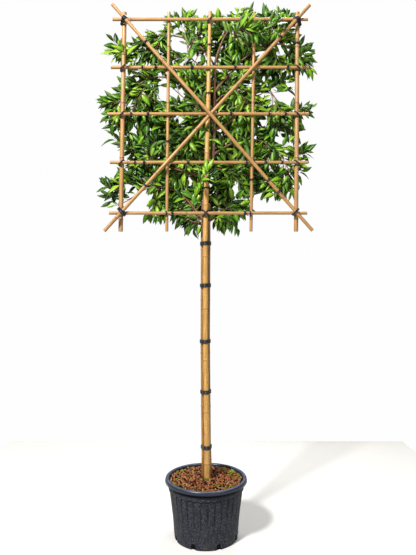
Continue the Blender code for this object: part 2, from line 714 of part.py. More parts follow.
def band(middle, across, along, members, height, wall):
    """A tie drawn round its members: a closed band whose inside clears each of their sections.

    across and along span the band's plane, and each member is its section's middle and half sizes there,
    then how far it strays across the band's height.
    """
    axis = across.cross(along)
    turns = [2 * math.pi * k / TIE_SIDES for k in range(TIE_SIDES)]
    rims = []
    for clear in (TIE_CLEAR, TIE_CLEAR + wall):
        reach = []
        for turn in turns:
            c, s = math.cos(turn), math.sin(turn)
            spans = [
                a * c + b * s + math.hypot(half_a * c, half_b * s) + stray * abs(c)
                for a, b, half_a, half_b, stray in members
            ]
            reach.append(max(spans) + clear)
        rim = []
        for k, turn in enumerate(turns):
            after = turns[(k + 1) % TIE_SIDES]
            spread = math.sin(after - turn)
            h0, h1 = reach[k], reach[(k + 1) % TIE_SIDES]
            a = (h0 * math.sin(after) - h1 * math.sin(turn)) / spread
            b = (h1 * math.cos(turn) - h0 * math.cos(after)) / spread
            rim.append(middle + across * a + along * b)
        rims.append(rim)
    vertices = []
    for rim in rims:
        for lift in (-height / 2, height / 2):
            vertices += [point + axis * lift for point in rim]
    n = TIE_SIDES
    faces = []
    for k in range(n):
        m = (k + 1) % n
        inner_low, inner_high, outer_low, outer_high = (k + row * n for row in range(4))
        next_inner_low, next_inner_high, next_outer_low, next_outer_high = (m + row * n for row in range(4))
        faces.append((inner_low, next_inner_low, next_inner_high, inner_high))
        faces.append((outer_low, outer_high, next_outer_high, next_outer_low))
        faces.append((inner_high, next_inner_high, next_outer_high, outer_high))
        faces.append((inner_low, outer_low, next_outer_low, next_inner_low))
    return vertices, faces


def make_stem_ties():
    """The wound ties that hold the trunk to its three canes."""
    for i, z in enumerate(STEM_TIE_HEIGHTS):
        x, y, radius = main_cane_at(z)
        trunk, _, trunk_radius = trunk_at(z)
        members = [
            (x, y, radius, radius, 0.0),
            (trunk.x, trunk.y, trunk_radius, trunk_radius, 0.0),
            *((rear_cane_x(xs, z), REAR_CANE_Y, REAR_CANE_RADIUS, REAR_CANE_RADIUS, 0.0) for _, xs in REAR_CANES),
        ]
        shape = band(
            Vector((0, 0, z)), Vector((1, 0, 0)), Vector((0, 1, 0)), members, STEM_TIE_BAND, STEM_TIE_WALL
        )
        add_object(f"stem_tie_{i + 1}", *shape, "black_tie", 60)


def crossing_tie(name, x, z, members, lean_degrees, height):
    """A slanted tie round canes that cross near (x, z): each member is its offset, y, radius and slope."""
    lean = math.radians(lean_degrees)
    across = Vector((math.cos(lean), 0, math.sin(lean)))
    sections = []
    for offset, y, radius, slope_degrees in members:
        gap = math.radians(slope_degrees) - lean
        half = radius / abs(math.sin(gap))
        sections.append((offset, y, half, radius, height / 2 * abs(math.cos(gap) / math.sin(gap))))
    shape = band(Vector((x, 0, z)), across, Vector((0, 1, 0)), sections, height, LATTICE_TIE_WALL)
    add_object(name, *shape, "black_tie", 60)


def diagonal_at_corner(x, z, rises, lean_degrees):
    """The section of the diagonal that passes a corner: its offset, y, radius and slope in degrees."""
    ends = DIAGONAL_RISING if rises else DIAGONAL_FALLING
    x0, z0, x1, z1 = ends
    slope = math.atan2(z1 - z0, x1 - x0)
    lean = math.radians(lean_degrees)
    offset = ((x - x0) * math.sin(slope) - (z - z0) * math.cos(slope)) / math.sin(lean - slope)
    length, place = diagonal_place(ends, 0.0 if rises else DIAGONAL_BOW)
    seat = place(length * (x - x0) / (x1 - x0))
    return offset, seat.y, DIAGONAL_RADIUS, math.degrees(slope)


def make_lattice_ties():
    """The ties at the lattice's corners, down its sides and where the long cane passes the top row."""
    behind = ROW_Y + ROW_RADIUS + CROSSING_CLEAR
    for side, upright in (("left", UPRIGHTS[0]), ("right", UPRIGHTS[3])):
        radius = upright[3]
        for row, (_, z, _, _) in enumerate(ROWS):
            x = upright_x(upright, z)
            rises = (side == "left") == (row == len(ROWS) - 1)
            lean = -45 if rises else 45
            slope = math.degrees(math.atan2(UPRIGHT_TOP - UPRIGHT_FOOT, upright[1] - upright[2]))
            members = [(0.0, ROW_Y, ROW_RADIUS, 0), (0.0, behind + radius, radius, slope)]
            height = LATTICE_TIE_BAND
            if row in (0, len(ROWS) - 1):
                members.append(diagonal_at_corner(x, z, rises, lean))
                height = CORNER_TIE_BAND
            crossing_tie(f"tie_{side}_row_{row + 1}", x, z, members, lean, height)
    top_row = ROWS[0][1]
    x, y, _ = main_cane_at(top_row)
    below_x, _, radius = main_cane_at(top_row - TIE_SPAN)
    slope = math.degrees(math.atan2(TIE_SPAN, x - below_x))
    members = [(0.0, ROW_Y, ROW_RADIUS, 0), (0.0, y, radius, slope)]
    crossing_tie("tie_middle_row_1", x, top_row, members, 45, LATTICE_TIE_BAND)


def leaf(root, along, face, length, width):
    """A pointed blade of eight faces with a ridge above and below."""
    beside = along.cross(face).normalized()
    belly = root + along * (LEAF_BELLY * length)
    crown = root + along * (LEAF_RIDGE * length)
    vertices = [
        root,
        belly + beside * (width / 2),
        root + along * length,
        belly - beside * (width / 2),
        crown + face * (LEAF_THICKNESS / 2),
        crown - face * (LEAF_THICKNESS / 2),
    ]
    faces = []
    for k in range(4):
        faces.append((k, (k + 1) % 4, 4))
        faces.append(((k + 1) % 4, k, 5))
    return vertices, faces


def tree_of(pieces):
    """One search tree of many (vertices, faces) pieces."""
    vertices = []
    faces = []
    for piece_vertices, piece_faces in pieces:
        start = len(vertices)
        vertices += list(piece_vertices)
        faces += [tuple(start + i for i in face) for face in piece_faces]
    return BVHTree.FromPolygons(vertices, faces)


def limb_tree():
    """A search tree of everything that leaves keep off, each thickened by the leaves' clearance."""
    pieces = []
    for _, points, radii in all_canes():
        pieces.append(tube(points, [r + LEAF_CLEAR for r in radii], CANE_SIDES))
    points, radii = trunk_course(LEAF_CLEAR)
    pieces.append(tube(points, radii, TRUNK_SIDES))
    for bough in BOUGHS:
        points, radii = bough_course(bough)
        pieces.append(tube(points, [r + LEAF_CLEAR for r in radii], BOUGH_SIDES))
    for obj in bpy.data.objects:
        if "tie_" in obj.name:
            vertices = [v.co + v.normal * LEAF_CLEAR for v in obj.data.vertices]
            pieces.append((vertices, [tuple(p.vertices) for p in obj.data.polygons]))
    return tree_of(pieces)


def in_cell(mass, vertices):
    """Whether every vertex keeps inside the mass's block."""
    return all(
        mass.x_low + CELL_CLEAR < v[0] < mass.x_high - CELL_CLEAR
        and FOLIAGE_FRONT < v[1] < FOLIAGE_BACK
        and mass.z_low + CELL_CLEAR < v[2] < mass.z_high - CELL_CLEAR
        for v in vertices
    )


def in_window(point):
    """Whether a point lies in a window of the crown."""
    return any(
        ((point.x - x) / half_x) ** 2 + ((point.z - z) / half_z) ** 2 < 1
        for x, z, half_x, half_z in WINDOWS
    )


def unit(rng):
    """A random direction."""
    return Vector(rng.normal(size=3)).normalized()


def stem_root(mass):
    """Where a mass's stem starts, the way it sets off, and its radius there."""
    if mass.carrier == "trunk":
        middle, along, radius = trunk_at(mass.leaves_at)
        side = math.copysign(1.0, (mass.x_low + mass.x_high) / 2 - middle.x)
        turn = TRUNK_FLAT if mass.leaves_at > REAR_CANE_TOP else 0.0
        outward = Vector((side * math.cos(turn), math.sin(turn), 0))
        outward = (outward - along * along.dot(outward)).normalized()
        return middle + outward * (radius * math.cos(TRUNK_FLAT / 2) + CLEAR), outward
    if mass.carrier == "trunk_tip":
        points, _ = trunk_course()
    else:
        bough = next(b for b in BOUGHS if b.name == mass.carrier)
        points, _ = bough_course(bough)
    heading = (Vector(points[-1]) - Vector(points[-2])).normalized()
    return Vector(points[-1]) + heading * CLEAR, heading


def stem_course(mass, limbs, rng):
    """The course of a mass's stem across its block, the first of many tries that meets no limb."""
    root, heading = stem_root(mass)
    across = Vector((mass.x_low + mass.x_high - 2 * root.x, 0, mass.z_low + mass.z_high - 2 * root.z))
    lead = root + heading * STEM_LEAD
    for _ in range(STEM_TRIES):
        far = Vector((root.x, 0, root.z)) + across * STEM_REACH
        far += Vector((rng.normal(0, STEM_STRAY), rng.uniform(*STEM_DEPTH), rng.normal(0, STEM_STRAY)))
        far.x = min(max(far.x, mass.x_low + STEM_EDGE), mass.x_high - STEM_EDGE)
        far.z = min(max(far.z, mass.z_low + STEM_EDGE), mass.z_high - STEM_EDGE)
        first = lead + heading * (STEM_PULL * (far - lead).length)
        second = far - (far - lead) * STEM_SAG - Vector((0, 0, STEM_DIP))
        points = [root] + [cubic(lead, first, second, far, t) for t in STEM_STATIONS]
        radii = np.linspace(STEM_RADII[0], STEM_RADII[1], len(points)).tolist()
        tried = tree_of([tube(points[1:], radii[1:], 3)])
        if not tried.overlap(limbs) and in_cell(mass, points[2:]):
            return points, radii
    raise RuntimeError(f"{mass.name} found no way for its stem")


def spread_point(mass, index, offset):
    """Points that share out the block evenly: an additive sequence in three directions."""
    u, v, w = ((offset + (index + 1) / SEQUENCE_BASE**k) % 1.0 for k in (1, 2, 3))
    x = mass.x_low + SHOOT_MARGIN + (mass.x_high - mass.x_low - 2 * SHOOT_MARGIN) * u
    z = mass.z_low + SHOOT_MARGIN + (mass.z_high - mass.z_low - 2 * SHOOT_MARGIN) * v
    depth = SHOOT_DEPTHS[0] + (SHOOT_DEPTHS[1] - SHOOT_DEPTHS[0]) * w
    return Vector((x, FOLIAGE_FRONT + (FOLIAGE_BACK - FOLIAGE_FRONT) * depth, z))


def leaf_face(along, rng):
    """The side that a blade shows: to the panel's front or back and a little up, with a random tilt."""
    wish = Vector((0, rng.choice((-LEAF_FACING, LEAF_FACING)), LEAF_UPWARD)) + unit(rng) * LEAF_TILT
    return (wish - along * along.dot(wish)).normalized()


def shoot_course(stem, target, leaf_share):
    """Start and end of a shoot that leaves the stem a little before the point nearest to its target."""
    shares = [k / SHOOT_PLACES for k in range(SHOOT_PLACES)]
    places = [a + (b - a) * t for a, b in zip(stem[1:], stem[2:]) for t in shares] + [stem[-1]]
    nearest = min(range(len(places)), key=lambda i: (places[i] - target).length)
    behind = [p for p in places[nearest::-1] if (p - places[nearest]).length >= SHOOT_BACKSET]
    start = behind[0] if behind else places[0]
    reach = target - start
    length = max(reach.length - leaf_share * LEAF_LENGTH, SHORTEST_SHOOT)
    return start, start + reach.normalized() * length


def grow_shoots(mass, stem, limbs, rng):
    """The shoots of a mass and their wood; one that leaves the block or touches a limb is tried again."""
    tips = TIPS.get(mass.name, ())
    shoots = []
    wood = []
    for i in range(mass.shoots):
        offset = rng.uniform(0, SHOOT_OFFSET)
        for k in range(SHOOT_TRIES):
            if i < len(tips):
                target = Vector((tips[i][0], rng.uniform(-TIP_DEPTH, TIP_DEPTH), tips[i][1]))
                start, end = shoot_course(stem, target, SHOOT_SHARE_AT_TIP)
            else:
                target = spread_point(mass, i + k * mass.shoots, offset)
                start, end = shoot_course(stem, target, SHOOT_SHARE)
            shape = tube((start, end), SHOOT_RADII, 3)
            if in_cell(mass, shape[0]) and not tree_of([shape]).overlap(limbs):
                shoots.append((start, end))
                wood.append(shape)
                break
    return shoots, wood


def grow_leaves(mass, shoots, obstacles, limbs, rng):
    """The leaves along the shoots, left and right by turns, and one at each shoot's end."""
    leaves = []
    for start, end in shoots:
        length = (end - start).length
        ahead = (end - start) / length
        stations = [length] + np.arange(length - LEAF_SPACING / 2, LEAF_SPACING / 2, -LEAF_SPACING).tolist()
        for k, s in enumerate(stations):
            beside = ahead.cross((LEAF_PLANE + unit(rng) * LEAF_TILT).normalized()) * (-1) ** k
            along = ahead if k == 0 else ahead * LEAF_AHEAD + beside
            at = start + ahead * (s - LEAF_SET_BACK)
            stray = LEAF_STRAY if k else LEAF_STRAY_AT_TIP
            leaves += try_leaf(mass, at, along, stray, obstacles + leaves, limbs, rng)
    return leaves


def try_leaf(mass, at, along, stray, obstacles, limbs, rng):
    """The leaf there, or nothing if it would leave the block, touch something or close a window."""
    others = tree_of(obstacles)
    for _ in range(LEAF_TRIES):
        length = LEAF_LENGTH * rng.uniform(*LEAF_SIZES)
        width = LEAF_WIDTH * length / LEAF_LENGTH
        way = (along.normalized() + unit(rng) * stray).normalized()
        face = leaf_face(way, rng)
        blade = leaf(at - way * LEAF_SUNK, way, face, length, width)
        free_part = leaf(at + way * LEAF_FOOT, way, face, length - LEAF_FOOT, width)
        if in_window(at + way * (0.5 * length)) or not in_cell(mass, blade[0]):
            continue
        if tree_of([blade]).overlap(limbs) or tree_of([free_part]).overlap(others):
            continue
        return [blade]
    return []


def grow_mass(mass, limbs, seed):
    """The pieces of one mass: its stem, then its shoots and leaves."""
    rng = np.random.default_rng(seed)
    points, radii = stem_course(mass, limbs, rng)
    stem = tube(points, radii, 3)
    shoots, wood = grow_shoots(mass, points, limbs, rng)
    heading = (points[-1] - points[-2]).normalized()
    leaves = try_leaf(mass, points[-1] - heading * LEAF_SET_BACK, heading, LEAF_STRAY, wood, limbs, rng)
    leaves += grow_leaves(mass, shoots, [stem] + wood + leaves, limbs, rng)
    return stem, wood + leaves


def make_mass(mass, limbs, seed):
    """One mass of foliage fused into one body, grown again from another seed if it doesn't close."""
    for attempt in range(MOST_GROWTHS):
        stem, pieces = grow_mass(mass, limbs, seed + SEED_STEP * attempt)
        for solver in ("EXACT", "MANIFOLD"):
            body = add_object(mass.name, *stem, "laurel_leaf", 30)
            group = bpy.data.collections.new("sprays")
            bpy.context.scene.collection.children.link(group)
            for k, piece in enumerate(pieces):
                spray = add_object(f"spray_{k}", *piece, "laurel_leaf", 30)
                bpy.context.scene.collection.objects.unlink(spray)
                group.objects.link(spray)
            boolean(body, "UNION", group, solver)
            if keep_main_body(body):
                return body
            bpy.data.objects.remove(body, do_unlink=True)
    raise RuntimeError(f"{mass.name} doesn't close")


def main():
    """Builds the pot, the canes, the ties, the wood and the foliage, and hangs them on one empty."""
    clear_scene()
    make_pot()
    foot_x, foot_y, foot_radius = main_cane_at(0.0)
    sockets = [(foot_x, foot_y, foot_radius)]
    sockets += [(xs[0], REAR_CANE_Y, REAR_CANE_RADIUS) for _, xs in REAR_CANES]
    make_soil(sockets)
    for name, points, radii in all_canes():
        add_object(name, *tube(points, radii, CANE_SIDES), "bamboo", 60)
    make_stem_ties()
    make_lattice_ties()
    add_object("trunk", *tube(*trunk_course(), TRUNK_SIDES), "laurel_bark", 60)
    make_boughs()
    limbs = limb_tree()
    for i, mass in enumerate(MASSES):
        make_mass(mass, limbs, SEED + i)
    plant = bpy.data.objects.new("plant", None)
    bpy.context.scene.collection.objects.link(plant)
    for obj in bpy.context.scene.collection.objects:
        if obj.type == "MESH":
            obj.parent = plant


main()
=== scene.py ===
"""Looks of a potted pleached laurel: a round pot, a clear stem on three canes and a flat bamboo lattice.

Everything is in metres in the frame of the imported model: the origin under the middle of the pot, +Z up
and -Y out of the panel's face. Surfaces are worked out as whole arrays and put into meshes at one go.
"""

import json
import logging
import math
from dataclasses import dataclass
from enum import Enum
from itertools import combinations

import bpy
import numpy as np
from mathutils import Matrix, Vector

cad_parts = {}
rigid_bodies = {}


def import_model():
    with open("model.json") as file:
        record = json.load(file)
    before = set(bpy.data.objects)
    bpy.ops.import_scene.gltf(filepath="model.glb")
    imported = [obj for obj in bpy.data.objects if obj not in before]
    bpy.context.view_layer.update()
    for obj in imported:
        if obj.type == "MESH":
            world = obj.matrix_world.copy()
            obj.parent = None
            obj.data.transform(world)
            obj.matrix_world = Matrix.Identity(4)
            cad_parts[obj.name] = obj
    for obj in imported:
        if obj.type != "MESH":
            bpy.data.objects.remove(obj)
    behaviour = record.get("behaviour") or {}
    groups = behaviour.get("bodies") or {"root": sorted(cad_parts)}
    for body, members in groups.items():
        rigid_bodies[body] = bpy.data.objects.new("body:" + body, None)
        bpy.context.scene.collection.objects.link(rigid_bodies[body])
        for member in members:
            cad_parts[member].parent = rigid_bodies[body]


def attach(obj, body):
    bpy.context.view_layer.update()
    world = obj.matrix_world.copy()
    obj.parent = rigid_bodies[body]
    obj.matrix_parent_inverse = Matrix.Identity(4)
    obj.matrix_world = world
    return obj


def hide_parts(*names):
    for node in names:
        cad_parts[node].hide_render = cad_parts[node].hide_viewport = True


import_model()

log = logging.getLogger("laurel")

Array = np.ndarray
Socket = bpy.types.NodeSocket
Feeds = dict[str | int, object]
Triple = tuple[float, float, float]
Section = tuple[float, float, float, float]
Piece = tuple[bpy.types.Object, str, list[str]]

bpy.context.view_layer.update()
BODY = "root"
RIGHT = np.array([1.0, 0.0, 0.0])
BACK = np.array([0.0, 1.0, 0.0])
UP = np.array([0.0, 0.0, 1.0])


def unit_rows(vectors: Array) -> Array:
    """Each row of vectors divided by its own length."""
    return vectors / np.maximum(np.linalg.norm(vectors, axis=-1, keepdims=True), 1e-9)


def full_turn(count: int) -> Array:
    """The angles of a ring's points: 2 pi i / count."""
    return 2 * math.pi * np.arange(count) / count


def angle_between(turn: Array, other: Array | float) -> Array:
    """The smaller angle between directions."""
    return np.abs((turn - other + math.pi) % (2 * math.pi) - math.pi)


def bell(away: Array, half: float) -> Array:
    """A bell curve: exp(-(away / half)^2)."""
    return np.exp(-((away / half) ** 2))


def smooth_step(low: float, high: float, value: Array) -> Array:
    """0 below low, 1 above high, and 3t^2 - 2t^3 between them."""
    t = np.clip((value - low) / (high - low), 0.0, 1.0)
    return t * t * (3 - 2 * t)


def waves(points: Array, scale: float, seed: int) -> Array:
    """A smooth uneven value from -1 to 1 at each point: the mean of eight plane waves that run at random."""
    rng = np.random.default_rng(seed)
    ways = unit_rows(rng.normal(size=(8, 3))) * rng.uniform(0.6, 1.6, (8, 1)) * scale
    return np.sin(points @ ways.T + rng.uniform(0, 2 * math.pi, 8)).mean(-1) * 1.8


def on_ring(turn: Array, size: float) -> Array:
    """Points of a flat ring, from which waves make a value that has no seam."""
    return np.stack([np.cos(turn) * size, np.sin(turn) * size, turn * 0], -1)


def cubic(p0: Array, p1: Array, p2: Array, p3: Array, t: Array) -> Array:
    """Points on a cubic curve between p0 and p3."""
    t = t[:, None]
    u = 1 - t
    return p0 * u**3 + p1 * 3 * u * u * t + p2 * 3 * u * t * t + p3 * t**3


@dataclass
class Shape:
    """A mesh under construction: points, groups of faces, the slot of each face and values at each point."""

    points: Array
    faces: list[Array]
    slots: Array | None = None
    values: dict[str, Array] | None = None

    def face_count(self) -> int:
        """How many faces the shape has."""
        return sum(len(group) for group in self.faces)


def tube_faces(rows: int, columns: int) -> tuple[Array, Array]:
    """Quads between rings of points, and triangles that fan the end rings to the two points after them.

    Args:
        rows: Number of rings.
        columns: Points in a ring.

    Returns:
        The quads, and the triangles.
    """
    i, k = np.meshgrid(np.arange(rows - 1), np.arange(columns), indexing="ij")
    a, b = i * columns + k, i * columns + (k + 1) % columns
    quads = np.stack([a, b, b + columns, a + columns], -1).reshape(-1, 4)
    k = np.arange(columns)
    beyond, last = (k + 1) % columns, (rows - 1) * columns
    foot = np.stack([np.full(columns, rows * columns), beyond, k], -1)
    top = np.stack([np.full(columns, rows * columns + 1), last + k, last + beyond], -1)
    return quads, np.concatenate([foot, top])


def closed_tubes(
    paths: Array, radii: Array, sides: int, guides: Array | None = None, along: Array | None = None
) -> Shape:
    """Closed tubes along many paths with the same number of stations, each end fanned to its middle.

    A ring's point is middle + radius * (cos(turn) * across + sin(turn) * beside), where across is the guide
    less its share along the path, and beside is square to both.

    Args:
        paths: Points (count, stations, 3).
        radii: Radii (count, stations) or (count, stations, sides).
        sides: Points in a ring.
        guides: A direction for each path; by default +Y, or +X where the path runs along Y.
        along: The paths' directions, where stations that share a place don't give them.

    Returns:
        The tubes as one shape.
    """
    count, stations = paths.shape[:2]
    if guides is None:
        run = unit_rows(paths[:, -1] - paths[:, 0])
        guides = np.where(np.abs(run[:, 1:2]) > 0.8, RIGHT, BACK)
    along = unit_rows(np.gradient(paths, axis=1) if along is None else along)
    guide = guides[:, None, :]
    across = unit_rows(guide - along * (along * guide).sum(-1, keepdims=True))
    beside = np.cross(along, across)
    turn = full_turn(sides)[:, None]
    spoke = np.cos(turn) * across[:, :, None, :] + np.sin(turn) * beside[:, :, None, :]
    reach = radii if radii.ndim == 3 else radii[:, :, None]
    rings = paths[:, :, None, :] + reach[..., None] * spoke
    points = np.concatenate([rings.reshape(count, -1, 3), paths[:, :1], paths[:, -1:]], axis=1)
    shift = (np.arange(count) * points.shape[1])[:, None, None]
    faces = [(group + shift).reshape(-1, group.shape[1]) for group in tube_faces(stations, sides)]
    return Shape(points.reshape(-1, 3), faces)


def closed_tube(path: Array, radii: Array, sides: int) -> Shape:
    """One closed tube along a path."""
    return closed_tubes(path[None], radii[None], sides)


def turned(radii: Array, heights: Array) -> Shape:
    """A closed turned solid: its rings' radii and heights (rings, columns), its ends fanned to the axis.

    Args:
        radii: Radii of the points.
        heights: Their heights.

    Returns:
        The solid.
    """
    turn = full_turn(radii.shape[1])
    points = np.stack([radii * np.cos(turn), radii * np.sin(turn), heights], -1).reshape(-1, 3)
    ends = np.array([[0.0, 0.0, heights[0].mean()], [0.0, 0.0, heights[-1].mean()]])
    return Shape(np.concatenate([points, ends]), list(tube_faces(*radii.shape)))


def joined(shapes: list[Shape]) -> Shape:
    """Many shapes as one, their faces renumbered and their slots and values kept.

    Args:
        shapes: The shapes.

    Returns:
        One shape.
    """
    starts = np.cumsum([0] + [len(s.points) for s in shapes])
    faces = [group + start for s, start in zip(shapes, starts) for group in s.faces]
    slots = [np.zeros(s.face_count(), np.int32) if s.slots is None else s.slots for s in shapes]
    values = {}
    for name in sorted({name for s in shapes for name in (s.values or {})}):
        values[name] = np.concatenate([(s.values or {}).get(name, np.zeros_like(s.points)) for s in shapes])
    return Shape(np.concatenate([s.points for s in shapes]), faces, np.concatenate(slots), values)


def add_object(name: str, data: bpy.types.ID | None) -> bpy.types.Object:
    """A new object of the scene for a mesh, a lamp or a camera."""
    obj = bpy.data.objects.new(name, data)
    bpy.context.scene.collection.objects.link(obj)
    return obj


def add_piece(
    name: str,
    shape: Shape,
    materials: list[bpy.types.Material],
    smooth: bool = True,
    sharp_degrees: float | None = None,
) -> bpy.types.Object:
    """Puts a shape into the scene as one object at the origin.

    Args:
        name: The object's plain name.
        shape: Its points, faces, slots and values.
        materials: One material for each slot.
        smooth: Whether its faces are shaded smooth.
        sharp_degrees: Edges that turn by more than this stay sharp.

    Returns:
        The object.
    """
    corners = np.concatenate([group.ravel() for group in shape.faces]).astype(np.int32)
    totals = np.concatenate([np.full(len(group), group.shape[1]) for group in shape.faces])
    starts = np.concatenate([[0], np.cumsum(totals)[:-1]]).astype(np.int32)
    mesh = bpy.data.meshes.new(name)
    mesh.vertices.add(len(shape.points))
    mesh.vertices.foreach_set("co", shape.points.astype(np.float32).ravel())
    mesh.loops.add(len(corners))
    mesh.loops.foreach_set("vertex_index", corners)
    mesh.polygons.add(len(totals))
    mesh.polygons.foreach_set("loop_start", starts)
    for finish in materials:
        mesh.materials.append(finish)
    if shape.slots is not None:
        mesh.polygons.foreach_set("material_index", shape.slots.astype(np.int32))
    mesh.polygons.foreach_set("use_smooth", np.full(len(totals), smooth))
    mesh.update(calc_edges=True)
    for key, value in (shape.values or {}).items():
        layer = mesh.attributes.new(key, "FLOAT_VECTOR", "POINT")
        layer.data.foreach_set("vector", value.astype(np.float32).ravel())
    mesh.validate()
    if sharp_degrees is not None:
        mesh.set_sharp_from_angle(angle=math.radians(sharp_degrees))
    return add_object(name, mesh)


def place(obj: bpy.types.Object, slot: str, nodes: list[str]) -> None:
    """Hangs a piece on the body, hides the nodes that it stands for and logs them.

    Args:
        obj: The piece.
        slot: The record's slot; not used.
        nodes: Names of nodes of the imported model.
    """
    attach(obj, BODY)
    if nodes:
        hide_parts(*nodes)
    log.info("%s: %d faces for %s", obj.name, len(obj.data.polygons), ", ".join(nodes) or "no node")


class Tree:
    """A node tree that is being filled in."""

    def __init__(self, tree: bpy.types.NodeTree) -> None:
        """Keeps the tree."""
        self.tree = tree

    def feed(self, node: bpy.types.Node, feeds: Feeds) -> None:
        """Feeds inputs of a node, each with another node's output or with a value.

        Args:
            node: The node.
            feeds: What goes into each input.
        """
        for key, value in feeds.items():
            if isinstance(value, Socket):
                self.tree.links.new(value, node.inputs[key])
            else:
                node.inputs[key].default_value = value

    def add(self, kind: str, feeds: Feeds | None = None, **settings: object) -> bpy.types.Node:
        """Adds a node.

        Args:
            kind: Blender's name for the node's type.
            feeds: What goes into each input.
            settings: The node's own options.

        Returns:
            The node.
        """
        node = self.tree.nodes.new(kind)
        for key, value in settings.items():
            setattr(node, key, value)
        self.feed(node, feeds or {})
        return node

    def ramp(self, value: Socket, low: object, high: object, least: float = 0.0, most: float = 1.0) -> Socket:
        """least up to low, most from high on and a straight ramp between; low may be the larger."""
        feeds = {"Value": value, "From Min": low, "From Max": high, "To Min": least, "To Max": most}
        return self.add("ShaderNodeMapRange", feeds).outputs["Result"]

    def between(self, share: Socket, least: float, most: float) -> Socket:
        """A value from least to most, by a share from 0 to 1."""
        return self.ramp(share, 0.0, 1.0, least, most)

    def maths(self, operation: str, *values: object) -> Socket:
        """Numbers or outputs taken together one after the other by an operation.

        Args:
            operation: Blender's name for the operation.
            values: The numbers or outputs.

        Returns:
            The result.
        """
        made = values[0]
        for value in values[1:] or (0.0,):
            made = self.add("ShaderNodeMath", {0: made, 1: value}, operation=operation).outputs[0]
        return made

    def times(self, *values: object) -> Socket:
        """The product of numbers or outputs."""
        return self.maths("MULTIPLY", *values)

    def blend(self, share: object, a: object, b: object) -> Socket:
        """Two colours blended by a share."""
        node = self.add("ShaderNodeMix", {0: share}, data_type="RGBA")
        self.feed(node, {key: v if isinstance(v, Socket) else (*v, 1.0) for key, v in ((6, a), (7, b))})
        return node.outputs[2]

    def axis(self, vector: Socket, name: str) -> Socket:
        """One part of a vector: X, Y or Z."""
        return self.add("ShaderNodeSeparateXYZ", {"Vector": vector}).outputs[name]

    def place_on(self, stretch: Triple | None = None) -> Socket:
        """The place on the object in metres, stretched along its three axes if told."""
        vector = self.add("ShaderNodeTexCoord").outputs["Object"]
        return self.stretched(vector, stretch) if stretch else vector

    def own_value(self, name: str) -> Socket:
        """A vector that the mesh carries at its points."""
        return self.add("ShaderNodeAttribute", attribute_name=name).outputs["Vector"]

    def stretched(self, vector: Socket, scale: Triple) -> Socket:
        """A vector stretched along its three axes."""
        return self.add("ShaderNodeMapping", {"Vector": vector, "Scale": scale}).outputs["Vector"]

    def clouds(self, vector: Socket, scale: float, low: float, high: float) -> Socket:
        """The shared group's soft patches."""
        feeds = {"Vector": vector, "Scale": scale, "Low": low, "High": high}
        return self.add("ShaderNodeGroup", feeds, node_tree=CLOUDS).outputs["Mask"]

    def flecks(self, vector: Socket, scale: float, size: float, share: float) -> Socket:
        """The shared group's small flecks."""
        feeds = {"Vector": vector, "Scale": scale, "Size": size, "Share": share}
        return self.add("ShaderNodeGroup", feeds, node_tree=FLECKS).outputs["Mask"]

    def bump(self, height: Socket, distance: float, strength: float) -> Socket:
        """The normal that a Bump node makes of a height."""
        feeds = {"Height": height, "Distance": distance, "Strength": strength}
        return self.add("ShaderNodeBump", feeds).outputs["Normal"]


def new_group(name: str, inputs: dict[str, float]) -> tuple[Tree, bpy.types.bpy_prop_collection]:
    """A shader group with a Vector, the named numbers and a Mask output, and what its inputs give.

    Args:
        name: The group's name.
        inputs: Its numbers and what they are by default.

    Returns:
        The group's tree, and the outputs of its input node.
    """
    group = bpy.data.node_groups.new(name, "ShaderNodeTree")
    group.interface.new_socket(name="Vector", in_out="INPUT", socket_type="NodeSocketVector")
    for key, value in inputs.items():
        made = group.interface.new_socket(name=key, in_out="INPUT", socket_type="NodeSocketFloat")
        made.default_value = value
    group.interface.new_socket(name="Mask", in_out="OUTPUT", socket_type="NodeSocketFloat")
    tree = Tree(group)
    return tree, tree.add("NodeGroupInput").outputs


def cloud_group() -> bpy.types.NodeTree:
    """Soft patches: noise of the given scale, spread from Low to High."""
    tree, given = new_group("soft_patches", {"Scale": 10.0, "Low": 0.35, "High": 0.65})
    feeds = {"Vector": given["Vector"], "Scale": given["Scale"], "Detail": 4.0}
    noise = tree.add("ShaderNodeTexNoise", feeds).outputs["Fac"]
    tree.add("NodeGroupOutput", {"Mask": tree.ramp(noise, given["Low"], given["High"])})
    return tree.tree


def fleck_group() -> bpy.types.NodeTree:
    """Small flecks: the middles of random cells, kept for the given share of the cells."""
    tree, given = new_group("flecks", {"Scale": 100.0, "Size": 0.25, "Share": 0.3})
    cells = tree.add("ShaderNodeTexVoronoi", {"Vector": given["Vector"], "Scale": given["Scale"]})
    pick = tree.add("ShaderNodeSeparateColor", {"Color": cells.outputs["Color"]})
    near = tree.maths("LESS_THAN", cells.outputs["Distance"], given["Size"])
    kept = tree.maths("LESS_THAN", pick.outputs[0], given["Share"])
    tree.add("NodeGroupOutput", {"Mask": tree.times(near, kept)})
    return tree.tree


CLOUDS = cloud_group()
FLECKS = fleck_group()


@dataclass(frozen=True)
class Finish:
    """What a surface looks like: a name, and the feeds of its Principled shader."""

    name: str

    def feeds(self, tree: Tree) -> Feeds:
        """What goes into the shader's inputs, each an output or a value.

        Args:
            tree: The material's node tree.

        Returns:
            The feeds by the name of the input.
        """
        raise NotImplementedError

    def material(self) -> bpy.types.Material:
        """The material with its shader fed."""
        made = bpy.data.materials.new(self.name)
        made.use_nodes = True
        tree = Tree(made.node_tree)
        tree.feed(made.node_tree.nodes["Principled BSDF"], self.feeds(tree))
        return made


